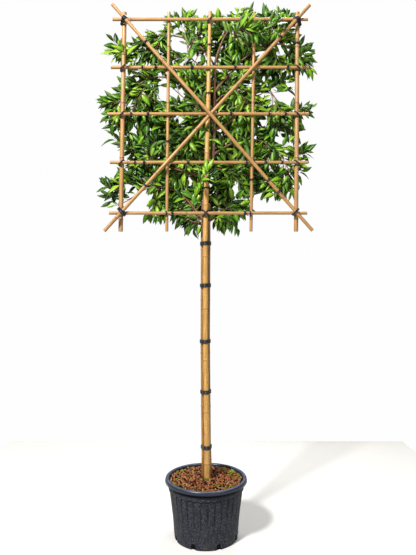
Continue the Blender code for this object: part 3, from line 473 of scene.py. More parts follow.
@dataclass(frozen=True)
class BambooFinish(Finish):
    """Bamboo skin: streaks along the cane, dark flecks and darker nodes."""

    light: Triple
    deep: Triple
    node_share: float = 0.75
    node: Triple = (0.17, 0.075, 0.025)
    fleck: Triple = (0.10, 0.040, 0.012)
    cut: Triple = (0.42, 0.27, 0.13)
    roughness: tuple[float, float] = (0.38, 0.58)

    def feeds(self, tree: Tree) -> Feeds:
        """Colours from the streaks, and from the node and cut masks that the mesh carries."""
        grain = tree.own_value("grain")
        streaks = tree.clouds(tree.stretched(grain, (1.0, 1.0, 0.03)), 420.0, 0.30, 0.72)
        patches = tree.clouds(tree.place_on(), 9.0, 0.30, 0.70)
        spots = tree.flecks(tree.stretched(grain, (1.0, 1.0, 0.4)), 170.0, 0.30, 0.20)
        ring = tree.own_value("ring")
        colour = tree.blend(streaks, self.deep, self.light)
        colour = tree.blend(tree.times(patches, 0.35), colour, self.deep)
        colour = tree.blend(tree.times(spots, 0.55), colour, self.fleck)
        colour = tree.blend(tree.times(tree.axis(ring, "X"), self.node_share), colour, self.node)
        return {
            "Base Color": tree.blend(tree.axis(ring, "Y"), colour, self.cut),
            "Roughness": tree.between(patches, *self.roughness),
            "Normal": tree.bump(streaks, 0.0004, 0.5),
        }


@dataclass(frozen=True)
class BarkFinish(Finish):
    """Smooth laurel bark: reddish brown with greyer patches and pale pores across the limb."""

    warm: Triple
    grey: Triple
    pore: Triple
    roughness: float = 0.72

    def feeds(self, tree: Tree) -> Feeds:
        """Patches of two browns under rows of pores."""
        patches = tree.clouds(tree.place_on(), 26.0, 0.38, 0.66)
        fine = tree.clouds(tree.place_on((1.0, 1.0, 0.4)), 320.0, 0.3, 0.7)
        pores = tree.flecks(tree.place_on((0.5, 0.5, 1.6)), 150.0, 0.28, 0.16)
        colour = tree.blend(patches, self.warm, self.grey)
        colour = tree.blend(tree.times(fine, 0.45), colour, tuple(0.35 * c for c in self.warm))
        return {
            "Base Color": tree.blend(tree.times(pores, 0.6), colour, self.pore),
            "Roughness": self.roughness,
            "Normal": tree.bump(tree.maths("ADD", fine, pores), 0.0010, 0.8),
        }


POT_HEIGHT = 0.366
POT_GROOVES = 33
POT_STEP_AT = 0.2975
POT_RIM_FOOT = (0.3412, 0.3424)


@dataclass(frozen=True)
class PotFinish(Finish):
    """Charcoal plastic: pale speckle, brown scuffs low down and a smoother blue-grey rim, with painted shade
    and a painted highlight.
    """

    body: Triple = (0.0090, 0.0108, 0.0168)
    speckle: Triple = (0.140, 0.150, 0.180)
    scuff: Triple = (0.105, 0.088, 0.070)
    rim: Triple = (0.0165, 0.0225, 0.0440)
    # Painted highlight along the rim's crest
    crest: Triple = (0.125, 0.155, 0.240)
    # Near black, for painted shade
    dirt: Triple = (0.0020, 0.0022, 0.0030)
    roughness: tuple[float, float] = (0.62, 0.34)
    shine: tuple[float, float] = (0.12, 0.50)

    def shadows(self, tree: Tree, place_on: Socket, height: Socket) -> Socket:
        """Painted shade: in the grooves, along the panels' rounded tops, inside the drain notches and under
        the rim.

        A groove is where turn * grooves / (2 pi) is near a whole number; the panels' top edge dips there.

        Args:
            tree: The material's node tree.
            place_on: The place on the pot.
            height: Its height.

        Returns:
            The mask of the painted shade.
        """
        x, y = tree.axis(place_on, "X"), tree.axis(place_on, "Y")
        count = tree.times(tree.maths("ARCTAN2", y, x), POT_GROOVES / (2 * math.pi))
        count = tree.maths("ADD", count, float(POT_GROOVES))
        off = tree.maths("ABSOLUTE", tree.maths("SUBTRACT", tree.maths("FRACT", count), 0.5))
        # Painted shade in the grooves, uneven in strength
        groove = tree.times(
            tree.ramp(off, 0.26, 0.49, 0.0, 0.72),
            tree.ramp(height, 0.08, 0.20),
            tree.ramp(height, POT_STEP_AT + 0.0015, POT_STEP_AT - 0.0075),
            tree.between(tree.clouds(place_on, 9.0, 0.35, 0.65), 0.50, 0.95),
        )
        # Painted shade along the panels' rounded top edge, which dips at each groove
        edge = tree.maths("ADD", height, tree.ramp(off, 0.25, 0.48, 0.0, 0.006))
        edge = tree.maths("ABSOLUTE", tree.maths("SUBTRACT", edge, POT_STEP_AT))
        # Painted shade inside the drain notches and on the wall under the rim
        radius = tree.maths("SQRT", tree.maths("ADD", tree.times(x, x), tree.times(y, y)))
        notch = tree.times(tree.ramp(radius, 0.1925, 0.1905), tree.ramp(height, 0.050, 0.045))
        line, under_rim = tree.ramp(edge, 0.0050, 0.0018, 0.0, 0.95), tree.ramp(height, 0.316, 0.331)
        return tree.maths("MAXIMUM", groove, line, notch, under_rim)

    def feeds(self, tree: Tree) -> Feeds:
        """The wall's and the rim's colours, which meet at the rim's lower edge."""
        place_on = tree.place_on()
        height = tree.axis(place_on, "Z")
        on_rim = tree.ramp(height, *POT_RIM_FOOT)
        on_wall = tree.maths("SUBTRACT", 1.0, on_rim)
        flaked = tree.times(tree.clouds(place_on, 150.0, 0.54, 0.72), 1.6)
        spots = tree.flecks(place_on, 230.0, 0.36, 0.30)
        speckles = tree.maths("MAXIMUM", tree.clouds(place_on, 330.0, 0.50, 0.70), flaked, spots)
        speckles = tree.times(speckles, on_wall)
        worn = tree.times(speckles, tree.between(tree.clouds(place_on, 42.0, 0.35, 0.68), 0.24, 0.64))
        scuffs = tree.times(tree.clouds(place_on, 17.0, 0.48, 0.72), tree.ramp(height, 0.22, 0.02, 0.0, 0.22))
        # Painted highlight along the rim's crest, broken up by streaks
        highlight_streaks = tree.clouds(tree.place_on((1.0, 1.0, 4.0)), 34.0, 0.30, 0.70)
        crest = tree.ramp(height, POT_HEIGHT - 0.0035, POT_HEIGHT - 0.0005)
        crest = tree.times(crest, tree.between(highlight_streaks, 0.15, 0.80))
        # Painted shade from that mask, and on the rim's lower edge
        painted_shade_share = tree.times(self.shadows(tree, place_on, height), on_wall, 0.94)
        painted_shade_share = tree.maths("MAXIMUM", painted_shade_share, tree.times(on_rim, tree.ramp(height, 0.353, 0.3440, 0.0, 0.75)))
        colour = tree.blend(on_rim, self.body, self.rim)
        marks = ((worn, self.speckle), (scuffs, self.scuff), (crest, self.crest), (painted_shade_share, self.dirt))
        for share, paint in marks:
            colour = tree.blend(share, colour, paint)
        # No shine where shade is painted
        unshaded = tree.maths("SUBTRACT", 1.0, painted_shade_share)
        return {
            "Base Color": colour,
            "Roughness": tree.between(on_rim, *self.roughness),
            "Specular IOR Level": tree.times(tree.between(on_rim, *self.shine), unshaded),
            "Normal": tree.bump(speckles, 0.0006, 0.5),
        }


@dataclass(frozen=True)
class TieFinish(Finish):
    """Black plastic tie with a dull sheen and dusty patches."""

    colour: Triple = (0.010, 0.012, 0.019)
    dusty: Triple = (0.030, 0.034, 0.045)
    roughness: float = 0.36

    def feeds(self, tree: Tree) -> Feeds:
        """Black, with dusty patches."""
        dust = tree.clouds(tree.place_on(), 120.0, 0.40, 0.75)
        colour = tree.blend(dust, self.colour, self.dusty)
        return {"Base Color": colour, "Roughness": self.roughness, "Normal": tree.bump(dust, 0.0004, 0.5)}


@dataclass(frozen=True)
class ChipFinish(Finish):
    """One colour of the bark chips, granules or moss on the substrate, with darker pores."""

    colour: Triple
    roughness: float = 0.9
    shine: float = 0.15

    def feeds(self, tree: Tree) -> Feeds:
        """One colour with darker pores and a rough surface."""
        pores = tree.clouds(tree.place_on(), 380.0, 0.38, 0.66)
        return {
            "Base Color": tree.blend(pores, tuple(0.38 * c for c in self.colour), self.colour),
            "Roughness": self.roughness,
            "Specular IOR Level": self.shine,
            "Normal": tree.bump(pores, 0.0012, 0.8),
        }


@dataclass(frozen=True)
class LeafFinish(Finish):
    """One tone of the leaves: a plain colour, with gloss and a midrib and side veins in its relief."""

    colour: Triple
    roughness: float = 0.34
    coat: float = 0.12
    veins: int = 9
    vein_slant: float = 2.2
    rib_half: float = 1 / 9

    def feeds(self, tree: Tree) -> Feeds:
        """Veins that follow the blade by the values along and across it that its points carry."""
        vein = tree.own_value("vein")
        side = tree.maths("ABSOLUTE", tree.axis(vein, "Y"))
        run = tree.times(tree.axis(vein, "X"), float(self.veins))
        slant = tree.maths("SUBTRACT", run, tree.times(side, self.vein_slant))
        ripple = tree.times(tree.maths("SINE", tree.times(slant, 2 * math.pi)), 0.35)
        rib = tree.ramp(side, self.rib_half, 0.0)
        return {
            "Base Color": (*self.colour, 1.0),
            "Roughness": self.roughness,
            "Specular IOR Level": 0.40,
            "Coat Weight": self.coat,
            "Coat Roughness": 0.20,
            "Normal": tree.bump(tree.maths("SUBTRACT", ripple, rib), 0.0006, 0.6),
        }


@dataclass(frozen=True)
class PaperFinish(Finish):
    """The floor's pale matt paper."""

    grey: float = 0.86

    def feeds(self, tree: Tree) -> Feeds:
        """One grey."""
        return {"Base Color": (self.grey, self.grey, self.grey, 1), "Roughness": 0.9}


class Tone(Enum):
    """The tones of the foliage, in the order of the leaves' material slots."""

    SHADE = LeafFinish("leaf_shade", (0.012, 0.047, 0.0025))
    DEEP = LeafFinish("leaf_deep", (0.035, 0.116, 0.004))
    MID = LeafFinish("leaf_mid", (0.080, 0.220, 0.006))
    FRESH = LeafFinish("leaf_fresh", (0.152, 0.330, 0.010), 0.38)
    YOUNG = LeafFinish("leaf_young", (0.250, 0.440, 0.022), 0.42, 0.1)
    BUD = LeafFinish("leaf_bud", (0.330, 0.090, 0.055), 0.45, 0.1)
    UNDERSIDE = LeafFinish("leaf_underside", (0.070, 0.160, 0.022), 0.6, 0.0)
    YOUNG_UNDERSIDE = LeafFinish("leaf_young_underside", (0.170, 0.310, 0.045), 0.6, 0.0)
    STALK = LeafFinish("leaf_stalk", (0.160, 0.045, 0.030), 0.5, 0.0)

    @property
    def slot(self) -> int:
        """The tone's place among the leaves' materials."""
        return list(Tone).index(self)


class Chip(Enum):
    """What the loose pieces on the substrate are, in the order of their material slots."""

    RED = ChipFinish("chip_red", (0.385, 0.115, 0.046))
    BROWN = ChipFinish("chip_brown", (0.105, 0.042, 0.021))
    PINK = ChipFinish("chip_pink", (0.540, 0.240, 0.135))
    TAN = ChipFinish("chip_tan", (0.520, 0.310, 0.105))
    # Near black: partly dark bark and soil, partly painted shade in the gaps between the chips
    DARK = ChipFinish("chip_dark_and_shade", (0.009, 0.005, 0.004))
    MOSS = ChipFinish("chip_moss", (0.300, 0.250, 0.030))


def level_rings(profile: list[tuple[float, float]], columns: int) -> tuple[Array, Array]:
    """Radii and heights (rings, columns) of level rings, from the radius and height of each."""
    radii, heights = np.array(profile).T[..., None] * np.ones(columns)
    return radii, heights


@dataclass
class Pot:
    """The round nursery pot: grooved wall, plain band, downturned rim and drain notches."""

    height: float = POT_HEIGHT
    rim_radius: float = 0.250
    rim_drop: float = 0.0235
    rim_flare: float = 0.0025
    base_radius: float = 0.1935
    neck_radius: float = 0.2335
    band_foot: float = 0.300
    step: float = 0.0055
    dip: tuple[float, float] = (0.006, 0.007)
    floor: float = 0.012
    grooves: int = POT_GROOVES
    groove_depth: float = 0.0050
    groove_half: float = 0.0060
    groove_fade: tuple[float, float] = (0.105, 0.215)
    notches: int = 8
    notch_size: tuple[float, float] = (0.027, 0.040)
    notch_reach: tuple[float, float] = (0.183, 0.2195)
    columns: int = 528

    def wall_radii(self, heights: Array) -> Array:
        """Radii of the wall by height and angle.

        The wall is a cone, set in below the band by the step, whose edge dips at the grooves so that each
        panel has a rounded top. A groove is a bell curve round its middle, fading out towards the foot.

        Args:
            heights: Heights of the rings.

        Returns:
            Radii (rings, columns).
        """
        radii = [self.base_radius, self.neck_radius - 0.0025, self.neck_radius]
        cone = np.interp(heights, [0.005, self.band_foot, self.height], radii)[:, None]
        off = np.abs((np.arange(self.columns) / self.columns * self.grooves + 0.5) % 1.0 - 0.5)
        metres = off * 2 * math.pi * self.neck_radius / self.grooves
        below = (self.band_foot - self.dip[0] * bell(metres, self.dip[1]))[None] - heights[:, None]
        set_in = self.step * smooth_step(-0.0015, 0.0035, below) * smooth_step(0.0, 0.16, heights)[:, None]
        fade = smooth_step(*self.groove_fade, heights)[:, None] * smooth_step(0.0, 0.010, below)
        return cone - set_in - self.groove_depth * bell(metres, self.groove_half)[None] * fade

    def build(self) -> list[Piece]:
        """The pot's mesh, with the notches cut out."""
        heights = [np.linspace(0.005, 0.270, 40), np.linspace(0.274, 0.310, 19), [0.330, 0.345]]
        heights = np.concatenate(heights)
        wall = self.wall_radii(heights), heights[:, None] * np.ones(self.columns)
        rim, neck, top = self.rim_radius, self.neck_radius, self.height
        flare, lip = rim + self.rim_flare, top - self.rim_drop
        rest = [(neck, top - 0.006), (neck + 0.003, top - 0.0045), (rim - 0.004, top - 0.0045)]
        rest += [(rim - 0.004, lip), (flare - 0.001, lip), (flare, lip + 0.002), (rim + 0.0005, top - 0.010)]
        roll = ((0.0008, 0.0060), (0.0028, 0.0025), (0.0058, 0.0006), (0.009, 0.0), (0.018, 0.0008))
        rest += [(rim - inset, top - drop) for inset, drop in (*roll, (0.0215, 0.0026), (0.0240, 0.0062))]
        rest += [(0.2260, 0.350), (0.2255, self.band_foot), (0.1905, 0.020), (0.1885, self.floor)]
        foot = [(self.base_radius - 0.005, 0.0), (self.base_radius - 0.0018, 0.0012)]
        rings = zip(level_rings(foot, self.columns), wall, level_rings(rest, self.columns))
        shape = turned(*(np.concatenate(rows) for rows in rings))
        pot = add_piece("pot_shell", shape, [PotFinish("charcoal_plastic").material()], True, 50)
        self.cut_notches(pot)
        return [(pot, "pot", ["pot"])]

    def cut_notches(self, pot: bpy.types.Object) -> None:
        """Cuts an arched drain notch through the foot of the wall between each pair of feet.

        Args:
            pot: The pot, which gets a new mesh.
        """
        half, height = self.notch_size[0] / 2, self.notch_size[1]
        arch = np.linspace(0, math.pi, 9)
        outline = np.stack([half * np.cos(arch), height - half + half * np.sin(arch)], -1)
        outline = np.concatenate([[(half, -half)], outline, [(-half, -half)]])
        k, n = np.arange(len(outline)), len(outline)
        walls = np.stack([k, (k + 1) % n, n + (k + 1) % n, n + k], -1)
        points, faces = [], []
        for i in range(self.notches):
            turn = math.radians(-90 + 360 * (i + 0.5) / self.notches)
            out = np.array([math.cos(turn), math.sin(turn), 0.0])
            side = np.cross(UP, out)
            for group in (walls, k[None, ::-1], (n + k)[None]):
                faces += (group + len(points)).tolist()
            for reach in self.notch_reach:
                points += (out * reach + outline[:, :1] * side + outline[:, 1:] * UP).tolist()
        mesh = bpy.data.meshes.new("cutters")
        mesh.from_pydata(points, [], faces)
        mesh.update()
        tool = add_object("notches", mesh)
        cut = pot.modifiers.new("notches", "BOOLEAN")
        cut.operation, cut.solver, cut.object = "DIFFERENCE", "EXACT", tool
        made = bpy.data.meshes.new_from_object(pot.evaluated_get(bpy.context.evaluated_depsgraph_get()))
        pot.modifiers.remove(cut)
        old, pot.data = pot.data, made
        bpy.data.meshes.remove(old)
        bpy.data.objects.remove(tool)


@dataclass
class Substrate:
    """The substrate: a low mound of bark chips with a little moss, round whatever stands in it."""

    radius: float = 0.2247
    foot_radius: float = 0.1887
    foot: float = 0.0123
    columns: int = 144
    chips: int = 1560
    chip_size: tuple[float, float] = (0.0050, 0.0108)
    # The fifth share, the near-black chips, is partly dark bark and partly painted shade in the gaps
    shares: tuple[float, ...] = (0.40, 0.16, 0.16, 0.10, 0.22)
    main_cane: tuple[float, float] = (0.0085, 0.0198)
    trunk_radius: float = 0.020
    seed: int = 5

    def mound(self, radius: Array) -> Array:
        """Height of the mound by distance from the middle."""
        return np.interp(radius, [0.0, 0.080, 0.1524, 0.2197, 0.2247], [0.364, 0.364, 0.357, 0.350, 0.346])

    def body(self) -> bpy.types.Object:
        """The substrate's body, near black for dark soil and for painted shade in the gaps between the chips:
        a turned solid whose top is the mound with low bumps.
        """
        inward = np.linspace(self.radius, 0.004, 44)[:, None] * np.ones(self.columns)
        turn = full_turn(self.columns)
        places = np.stack([inward * np.cos(turn), inward * np.sin(turn), np.zeros_like(inward)], -1)
        bumps = 0.0016 * waves(places, 150.0, 3) * smooth_step(0.0, 0.01, self.radius - inward)
        wall = [(self.foot_radius, self.foot), (0.2240, 0.300), (self.radius, 0.338)]
        rings = zip(level_rings(wall, self.columns), (inward, self.mound(inward) - 0.009 + bumps))
        shape = turned(*(np.concatenate(rows) for rows in rings))
        return add_piece("substrate_body", shape, [Chip.DARK.value.material()])

    def loose(self, blocked: Array) -> bpy.types.Object:
        """The loose chips: unevenly scaled and turned icosahedra, laid out by a golden-angle spiral.

        Args:
            blocked: x, y and radius of whatever stands in the substrate.

        Returns:
            The chips as one piece.
        """
        rng = np.random.default_rng(self.seed)
        index = np.arange(self.chips)
        radius = (self.radius - 0.006) * np.sqrt((index + 0.5) / self.chips)
        turn = index * math.pi * (3 - math.sqrt(5))
        spots = np.stack([radius * np.cos(turn), radius * np.sin(turn)], -1)
        spots = spots + rng.normal(0, 0.0028, (self.chips, 2))
        gap = np.linalg.norm(spots[:, None] - blocked[None, :, :2], axis=-1) - blocked[None, :, 2]
        keep = (gap.min(1) > 0.002) & (np.linalg.norm(spots, axis=1) < self.radius - 0.005)
        spots, count = spots[keep], int(keep.sum())
        away = np.linalg.norm(spots, axis=1)
        corners, faces = icosahedron()
        size = rng.uniform(*self.chip_size, (count, 1))
        size = size * rng.uniform([0.9, 0.55, 0.35], [1.5, 0.9, 0.60], (count, 3))
        body = corners[None] * size[:, None] * rng.uniform(0.78, 1.18, (count, 12, 1))
        body = np.einsum("nij,nkj->nki", random_turns(rng, count, 0.55), body)
        heights = self.mound(away) - 0.0030 + rng.uniform(0, 0.0058, count)
        points = body + np.concatenate([spots, heights[:, None]], 1)[:, None]
        triangles = faces[None] + (12 * np.arange(count))[:, None, None]
        kinds = rng.choice(len(self.shares), count, p=np.array(self.shares) / sum(self.shares))
        patch = waves(np.concatenate([spots, heights[:, None] * 0], 1), 60.0, 8) > 0.1
        moss = (0.02 + 0.16 * smooth_step(0.13, 0.21, away)) * np.where(patch, 2.0, 0.3)
        kinds = np.where(rng.uniform(size=count) < moss, list(Chip).index(Chip.MOSS), kinds)
        shape = Shape(points.reshape(-1, 3), [triangles.reshape(-1, 3)], np.repeat(kinds, len(faces)))
        return add_piece("substrate_chips", shape, [kind.value.material() for kind in Chip], False)

    def build(self) -> list[Piece]:
        """The body, and the chips clear of the trunk and the canes."""
        canes = [(side, REAR_CANE_Y, REAR_CANE_RADIUS) for side in rear_canes_at(SOIL_TOP)]
        main = (self.main_cane[0], MAIN_CANE_Y, self.main_cane[1])
        blocked = np.array([main, (0, 0, self.trunk_radius), *canes])
        return [(self.body(), "substrate", ["soil"]), (self.loose(blocked), "substrate", [])]


def icosahedron() -> tuple[Array, Array]:
    """Corners of a regular icosahedron, and its triangles: the triples of corners that are all neighbours."""
    gold = (1 + math.sqrt(5)) / 2
    corners = np.array([(0, a, b * gold) for a in (-1, 1) for b in (-1, 1)], float)
    corners = np.concatenate([corners, corners[:, [2, 0, 1]], corners[:, [1, 2, 0]]]) / math.sqrt(1 + gold**2)
    apart = np.linalg.norm(corners[:, None] - corners[None], axis=-1)
    near = apart < 1.3 * apart[apart > 0].min()
    triples = combinations(range(12), 3)
    faces = np.array([(a, b, c) for a, b, c in triples if near[a, b] and near[b, c] and near[a, c]])
    first, second, third = (corners[faces[:, k]] for k in range(3))
    inward = (np.cross(second - first, third - first) * corners[faces].mean(1)).sum(-1) < 0
    faces[inward] = faces[inward][:, ::-1]
    return corners, faces


def random_turns(rng: np.random.Generator, count: int, tilt: float) -> Array:
    """Rotation matrices: any turn about +Z after a tilt of about the given radians.

    Args:
        rng: Where chance comes from.
        count: Number of matrices.
        tilt: Spread of the tilt.

    Returns:
        Matrices (count, 3, 3).
    """
    yaw = rng.uniform(0, 2 * math.pi, count)
    roll, pitch = rng.normal(0, tilt, (2, count))

    def about(angle: Array, first: int, second: int) -> Array:
        """Turns that take one axis towards another."""
        made = np.tile(np.eye(3), (count, 1, 1))
        made[:, first, first] = made[:, second, second] = np.cos(angle)
        made[:, second, first], made[:, first, second] = np.sin(angle), -np.sin(angle)
        return made

    return about(yaw, 0, 1) @ about(pitch, 2, 0) @ about(roll, 1, 2)


CROSSING_CLEAR = 0.0005
SOIL_TOP = 0.364
ROW_Y = -0.0646
ROW_RADIUS = 0.0098
ROWS = (
    ("cane_row_1", 3.149, -0.564, 0.615),
    ("cane_row_2", 2.859, -0.574, 0.619),
    ("cane_row_3", 2.578, -0.595, 0.620),
    ("cane_row_4", 2.285, -0.580, 0.615),
    ("cane_row_5", 1.979, -0.585, 0.610),
)
BEHIND_ROWS = ROW_Y + ROW_RADIUS + CROSSING_CLEAR
UPRIGHT_TOP = 3.202
UPRIGHT_FOOT = 1.870
UPRIGHTS = (
    ("cane_upright_outer_left", -0.496, -0.520, 0.0133),
    ("cane_upright_inner_left", -0.226, -0.239, 0.0095),
    ("cane_upright_inner_right", 0.294, 0.273, 0.0095),
    ("cane_upright_outer_right", 0.556, 0.547, 0.0130),
)
DIAGONAL_RADIUS = 0.0105
FRONT_OF_ROWS = ROW_Y - ROW_RADIUS - DIAGONAL_RADIUS - CROSSING_CLEAR
DIAGONALS = (
    ("cane_diagonal_falling", (-0.562, 3.229, 0.639, 1.871), 2 * DIAGONAL_RADIUS + CROSSING_CLEAR),
    ("cane_diagonal_rising", (-0.611, 1.869, 0.622, 3.225), 0.0),
)
# Height, x and radius of the long cane
MAIN_CANE = np.array(
    [
        (0.364, 0.0085, 0.0194), (0.62, 0.0062, 0.0180), (1.20, -0.0030, 0.0164), (1.88, -0.0036, 0.0156),
        (2.03, -0.0005, 0.0158), (2.73, 0.0154, 0.0132), (2.93, 0.0178, 0.0116), (3.206, 0.0258, 0.0097),
    ]
)
MAIN_CANE_Y = -0.0385
REAR_CANE_Y = 0.0280
REAR_CANE_HEIGHTS = (0.214, 0.370, 0.580, 1.200, 1.800, 2.050)
REAR_CANES = {
    "cane_rear_left": (-0.0158, -0.0158, -0.0176, -0.0235, -0.0215, -0.0205),
    "cane_rear_right": (0.0251, 0.0251, 0.0182, 0.0125, 0.0158, 0.0158),
}
REAR_CANE_RADIUS = 0.0115
SOCKET_DEPTH = 0.150
STEM_TIES = (1.800, 1.541, 1.196, 0.885, 0.545)
# Distances of the rings round a node
NODE_RINGS = np.array([-16, -10, -6.5, -4.5, -2.5, -1, 0.5, 2, 4, 7, 12, 18]) / 1000


def main_cane_at(z: Array | float) -> tuple[Array, Array, Array]:
    """x, y and radius of the long cane by height: its face stays just behind the rows within the lattice."""
    x, radius = (np.interp(z, MAIN_CANE[:, 0], MAIN_CANE[:, k]) for k in (1, 2))
    share = np.interp(z, [1.70, 1.95], [0.0, 1.0])
    return x, (1 - share) * MAIN_CANE_Y + share * (BEHIND_ROWS + radius), radius


def rear_canes_at(z: float) -> list[float]:
    """x of the two rear canes at a height."""
    return [float(np.interp(z, REAR_CANE_HEIGHTS, xs)) for xs in REAR_CANES.values()]


def upright_x(upright: tuple[str, float, float, float], z: float) -> float:
    """x of an upright at a height."""
    return upright[2] + (upright[1] - upright[2]) * (z - UPRIGHT_FOOT) / (UPRIGHT_TOP - UPRIGHT_FOOT)


def diagonal_y(bow: float, share: Array | float) -> Array:
    """y of a diagonal by the share of its run: in front of the rows, further by bow * sin(pi share)^2."""
    return FRONT_OF_ROWS - bow * np.sin(math.pi * share) ** 2


def steps_of(path: Array) -> Array:
    """Lengths of the steps between a path's points."""
    return np.linalg.norm(np.diff(path[:, :3], axis=0), axis=1)


@dataclass
class Cane:
    """One bamboo cane: a course of x, y, z and radius, and where its nodes are."""

    name: str
    course: Array
    nodes: list[float]
    sides: int = 18
    spacing: float = 0.025
    hollow: float = 0.018

    def at(self, distance: Array) -> Array:
        """x, y, z and radius at distances from the foot."""
        ruler = np.concatenate([[0], np.cumsum(steps_of(self.course))])
        return np.stack([np.interp(distance, ruler, self.course[:, k]) for k in range(4)], -1)

    def stations(self) -> Array:
        """Distances of the rings: evenly spaced, and close together round each node."""
        length = float(steps_of(self.course).sum())
        rings = [np.linspace(0, length, max(int(length / self.spacing), 4))]
        rings += [node + NODE_RINGS for node in self.nodes]
        rings = np.unique(np.clip(np.concatenate(rings), 0, length))
        return rings[np.concatenate([[True], np.diff(rings) > 0.0004])]

    def shape(self, index: int) -> Shape:
        """The cane's surface: the course's radius, swollen and grooved at the nodes, cut hollow at both ends.

        A node is a sharp ridge over a fine groove within a low swelling, with a bud scar on one side that
        changes sides from node to node.

        Args:
            index: The cane's number, which varies its looks.

        Returns:
            The surface, its ends closed.
        """
        rng = np.random.default_rng(100 + index)
        s = self.stations()
        length, count = s[-1], len(self.nodes)
        course = self.at(s)
        path = course[:, :3]
        off = s[:, None] - np.array(self.nodes)[None]
        ridge = bell(off, 0.0026)
        swell = 1 + (0.085 * ridge + 0.035 * bell(off, 0.016) - 0.035 * bell(off + 0.0055, 0.0016)).sum(1)
        turn = full_turn(self.sides)
        facing = (np.arange(count) % 2) * math.pi + rng.uniform(-0.5, 0.5, count) + rng.uniform(0, 6.28)
        scar = bell(off - 0.006, 0.006) @ bell(angle_between(turn[None], facing[:, None]), 0.35)
        out = 1 + 0.012 * waves(on_ring(turn, 1.0)[None] + s[:, None, None] * [0, 0, 3.0], 1.5, index)
        radii = course[:, 3:] * swell[:, None] * out + 0.0011 * scar
        wobble = 0.0011 * np.stack([waves(path * 4.0, 1.0, seed + index) for seed in (31, 57)], -1)
        along = unit_rows(np.gradient(path, axis=0))
        across = unit_rows(BACK - along * (along @ BACK)[:, None])
        path = path + (across * wobble[:, :1] * 0.5 + np.cross(along, across) * wobble[:, 1:] * 0.5)
        hollow = min(self.hollow, 0.1 * length)
        deep = self.at(np.array([hollow, length - hollow]))[:, :3]
        path = np.concatenate([deep[:1], path[:1], path, path[-1:], deep[1:]])
        along = np.concatenate([along[:1], along[:1], along, along[-1:], along[-1:]])
        inner = 0.60 * radii
        radii = np.concatenate([inner[:1], inner[:1], radii, inner[-1:], inner[-1:]])
        distance = np.concatenate([[hollow, 0], s, [length, length - hollow]])
        mark = np.clip(ridge.sum(1) + 0.7 * bell(off + 0.0055, 0.0022).sum(1), 0, 1)
        mark = np.concatenate([[0, 0], mark, [0, 0]])
        cut = np.zeros(len(distance))
        cut[[0, 1, -2, -1]] = 1.0
        shape = closed_tubes(path[None], radii[None], self.sides, BACK[None], along[None])
        far = distance[:, None] * np.ones(self.sides)
        grain = np.stack([radii * np.cos(turn), radii * np.sin(turn), far], -1)
        ring = np.stack([mark, cut, cut * 0], -1)[:, None].repeat(self.sides, 1)
        shape.values = {
            "grain": np.concatenate([grain.reshape(-1, 3), [[0, 0, 0], [0, 0, length]]]) + index * 3.7,
            "ring": np.concatenate([ring.reshape(-1, 3), [[0, 1, 0], [0, 1, 0]]]),
        }
        return shape


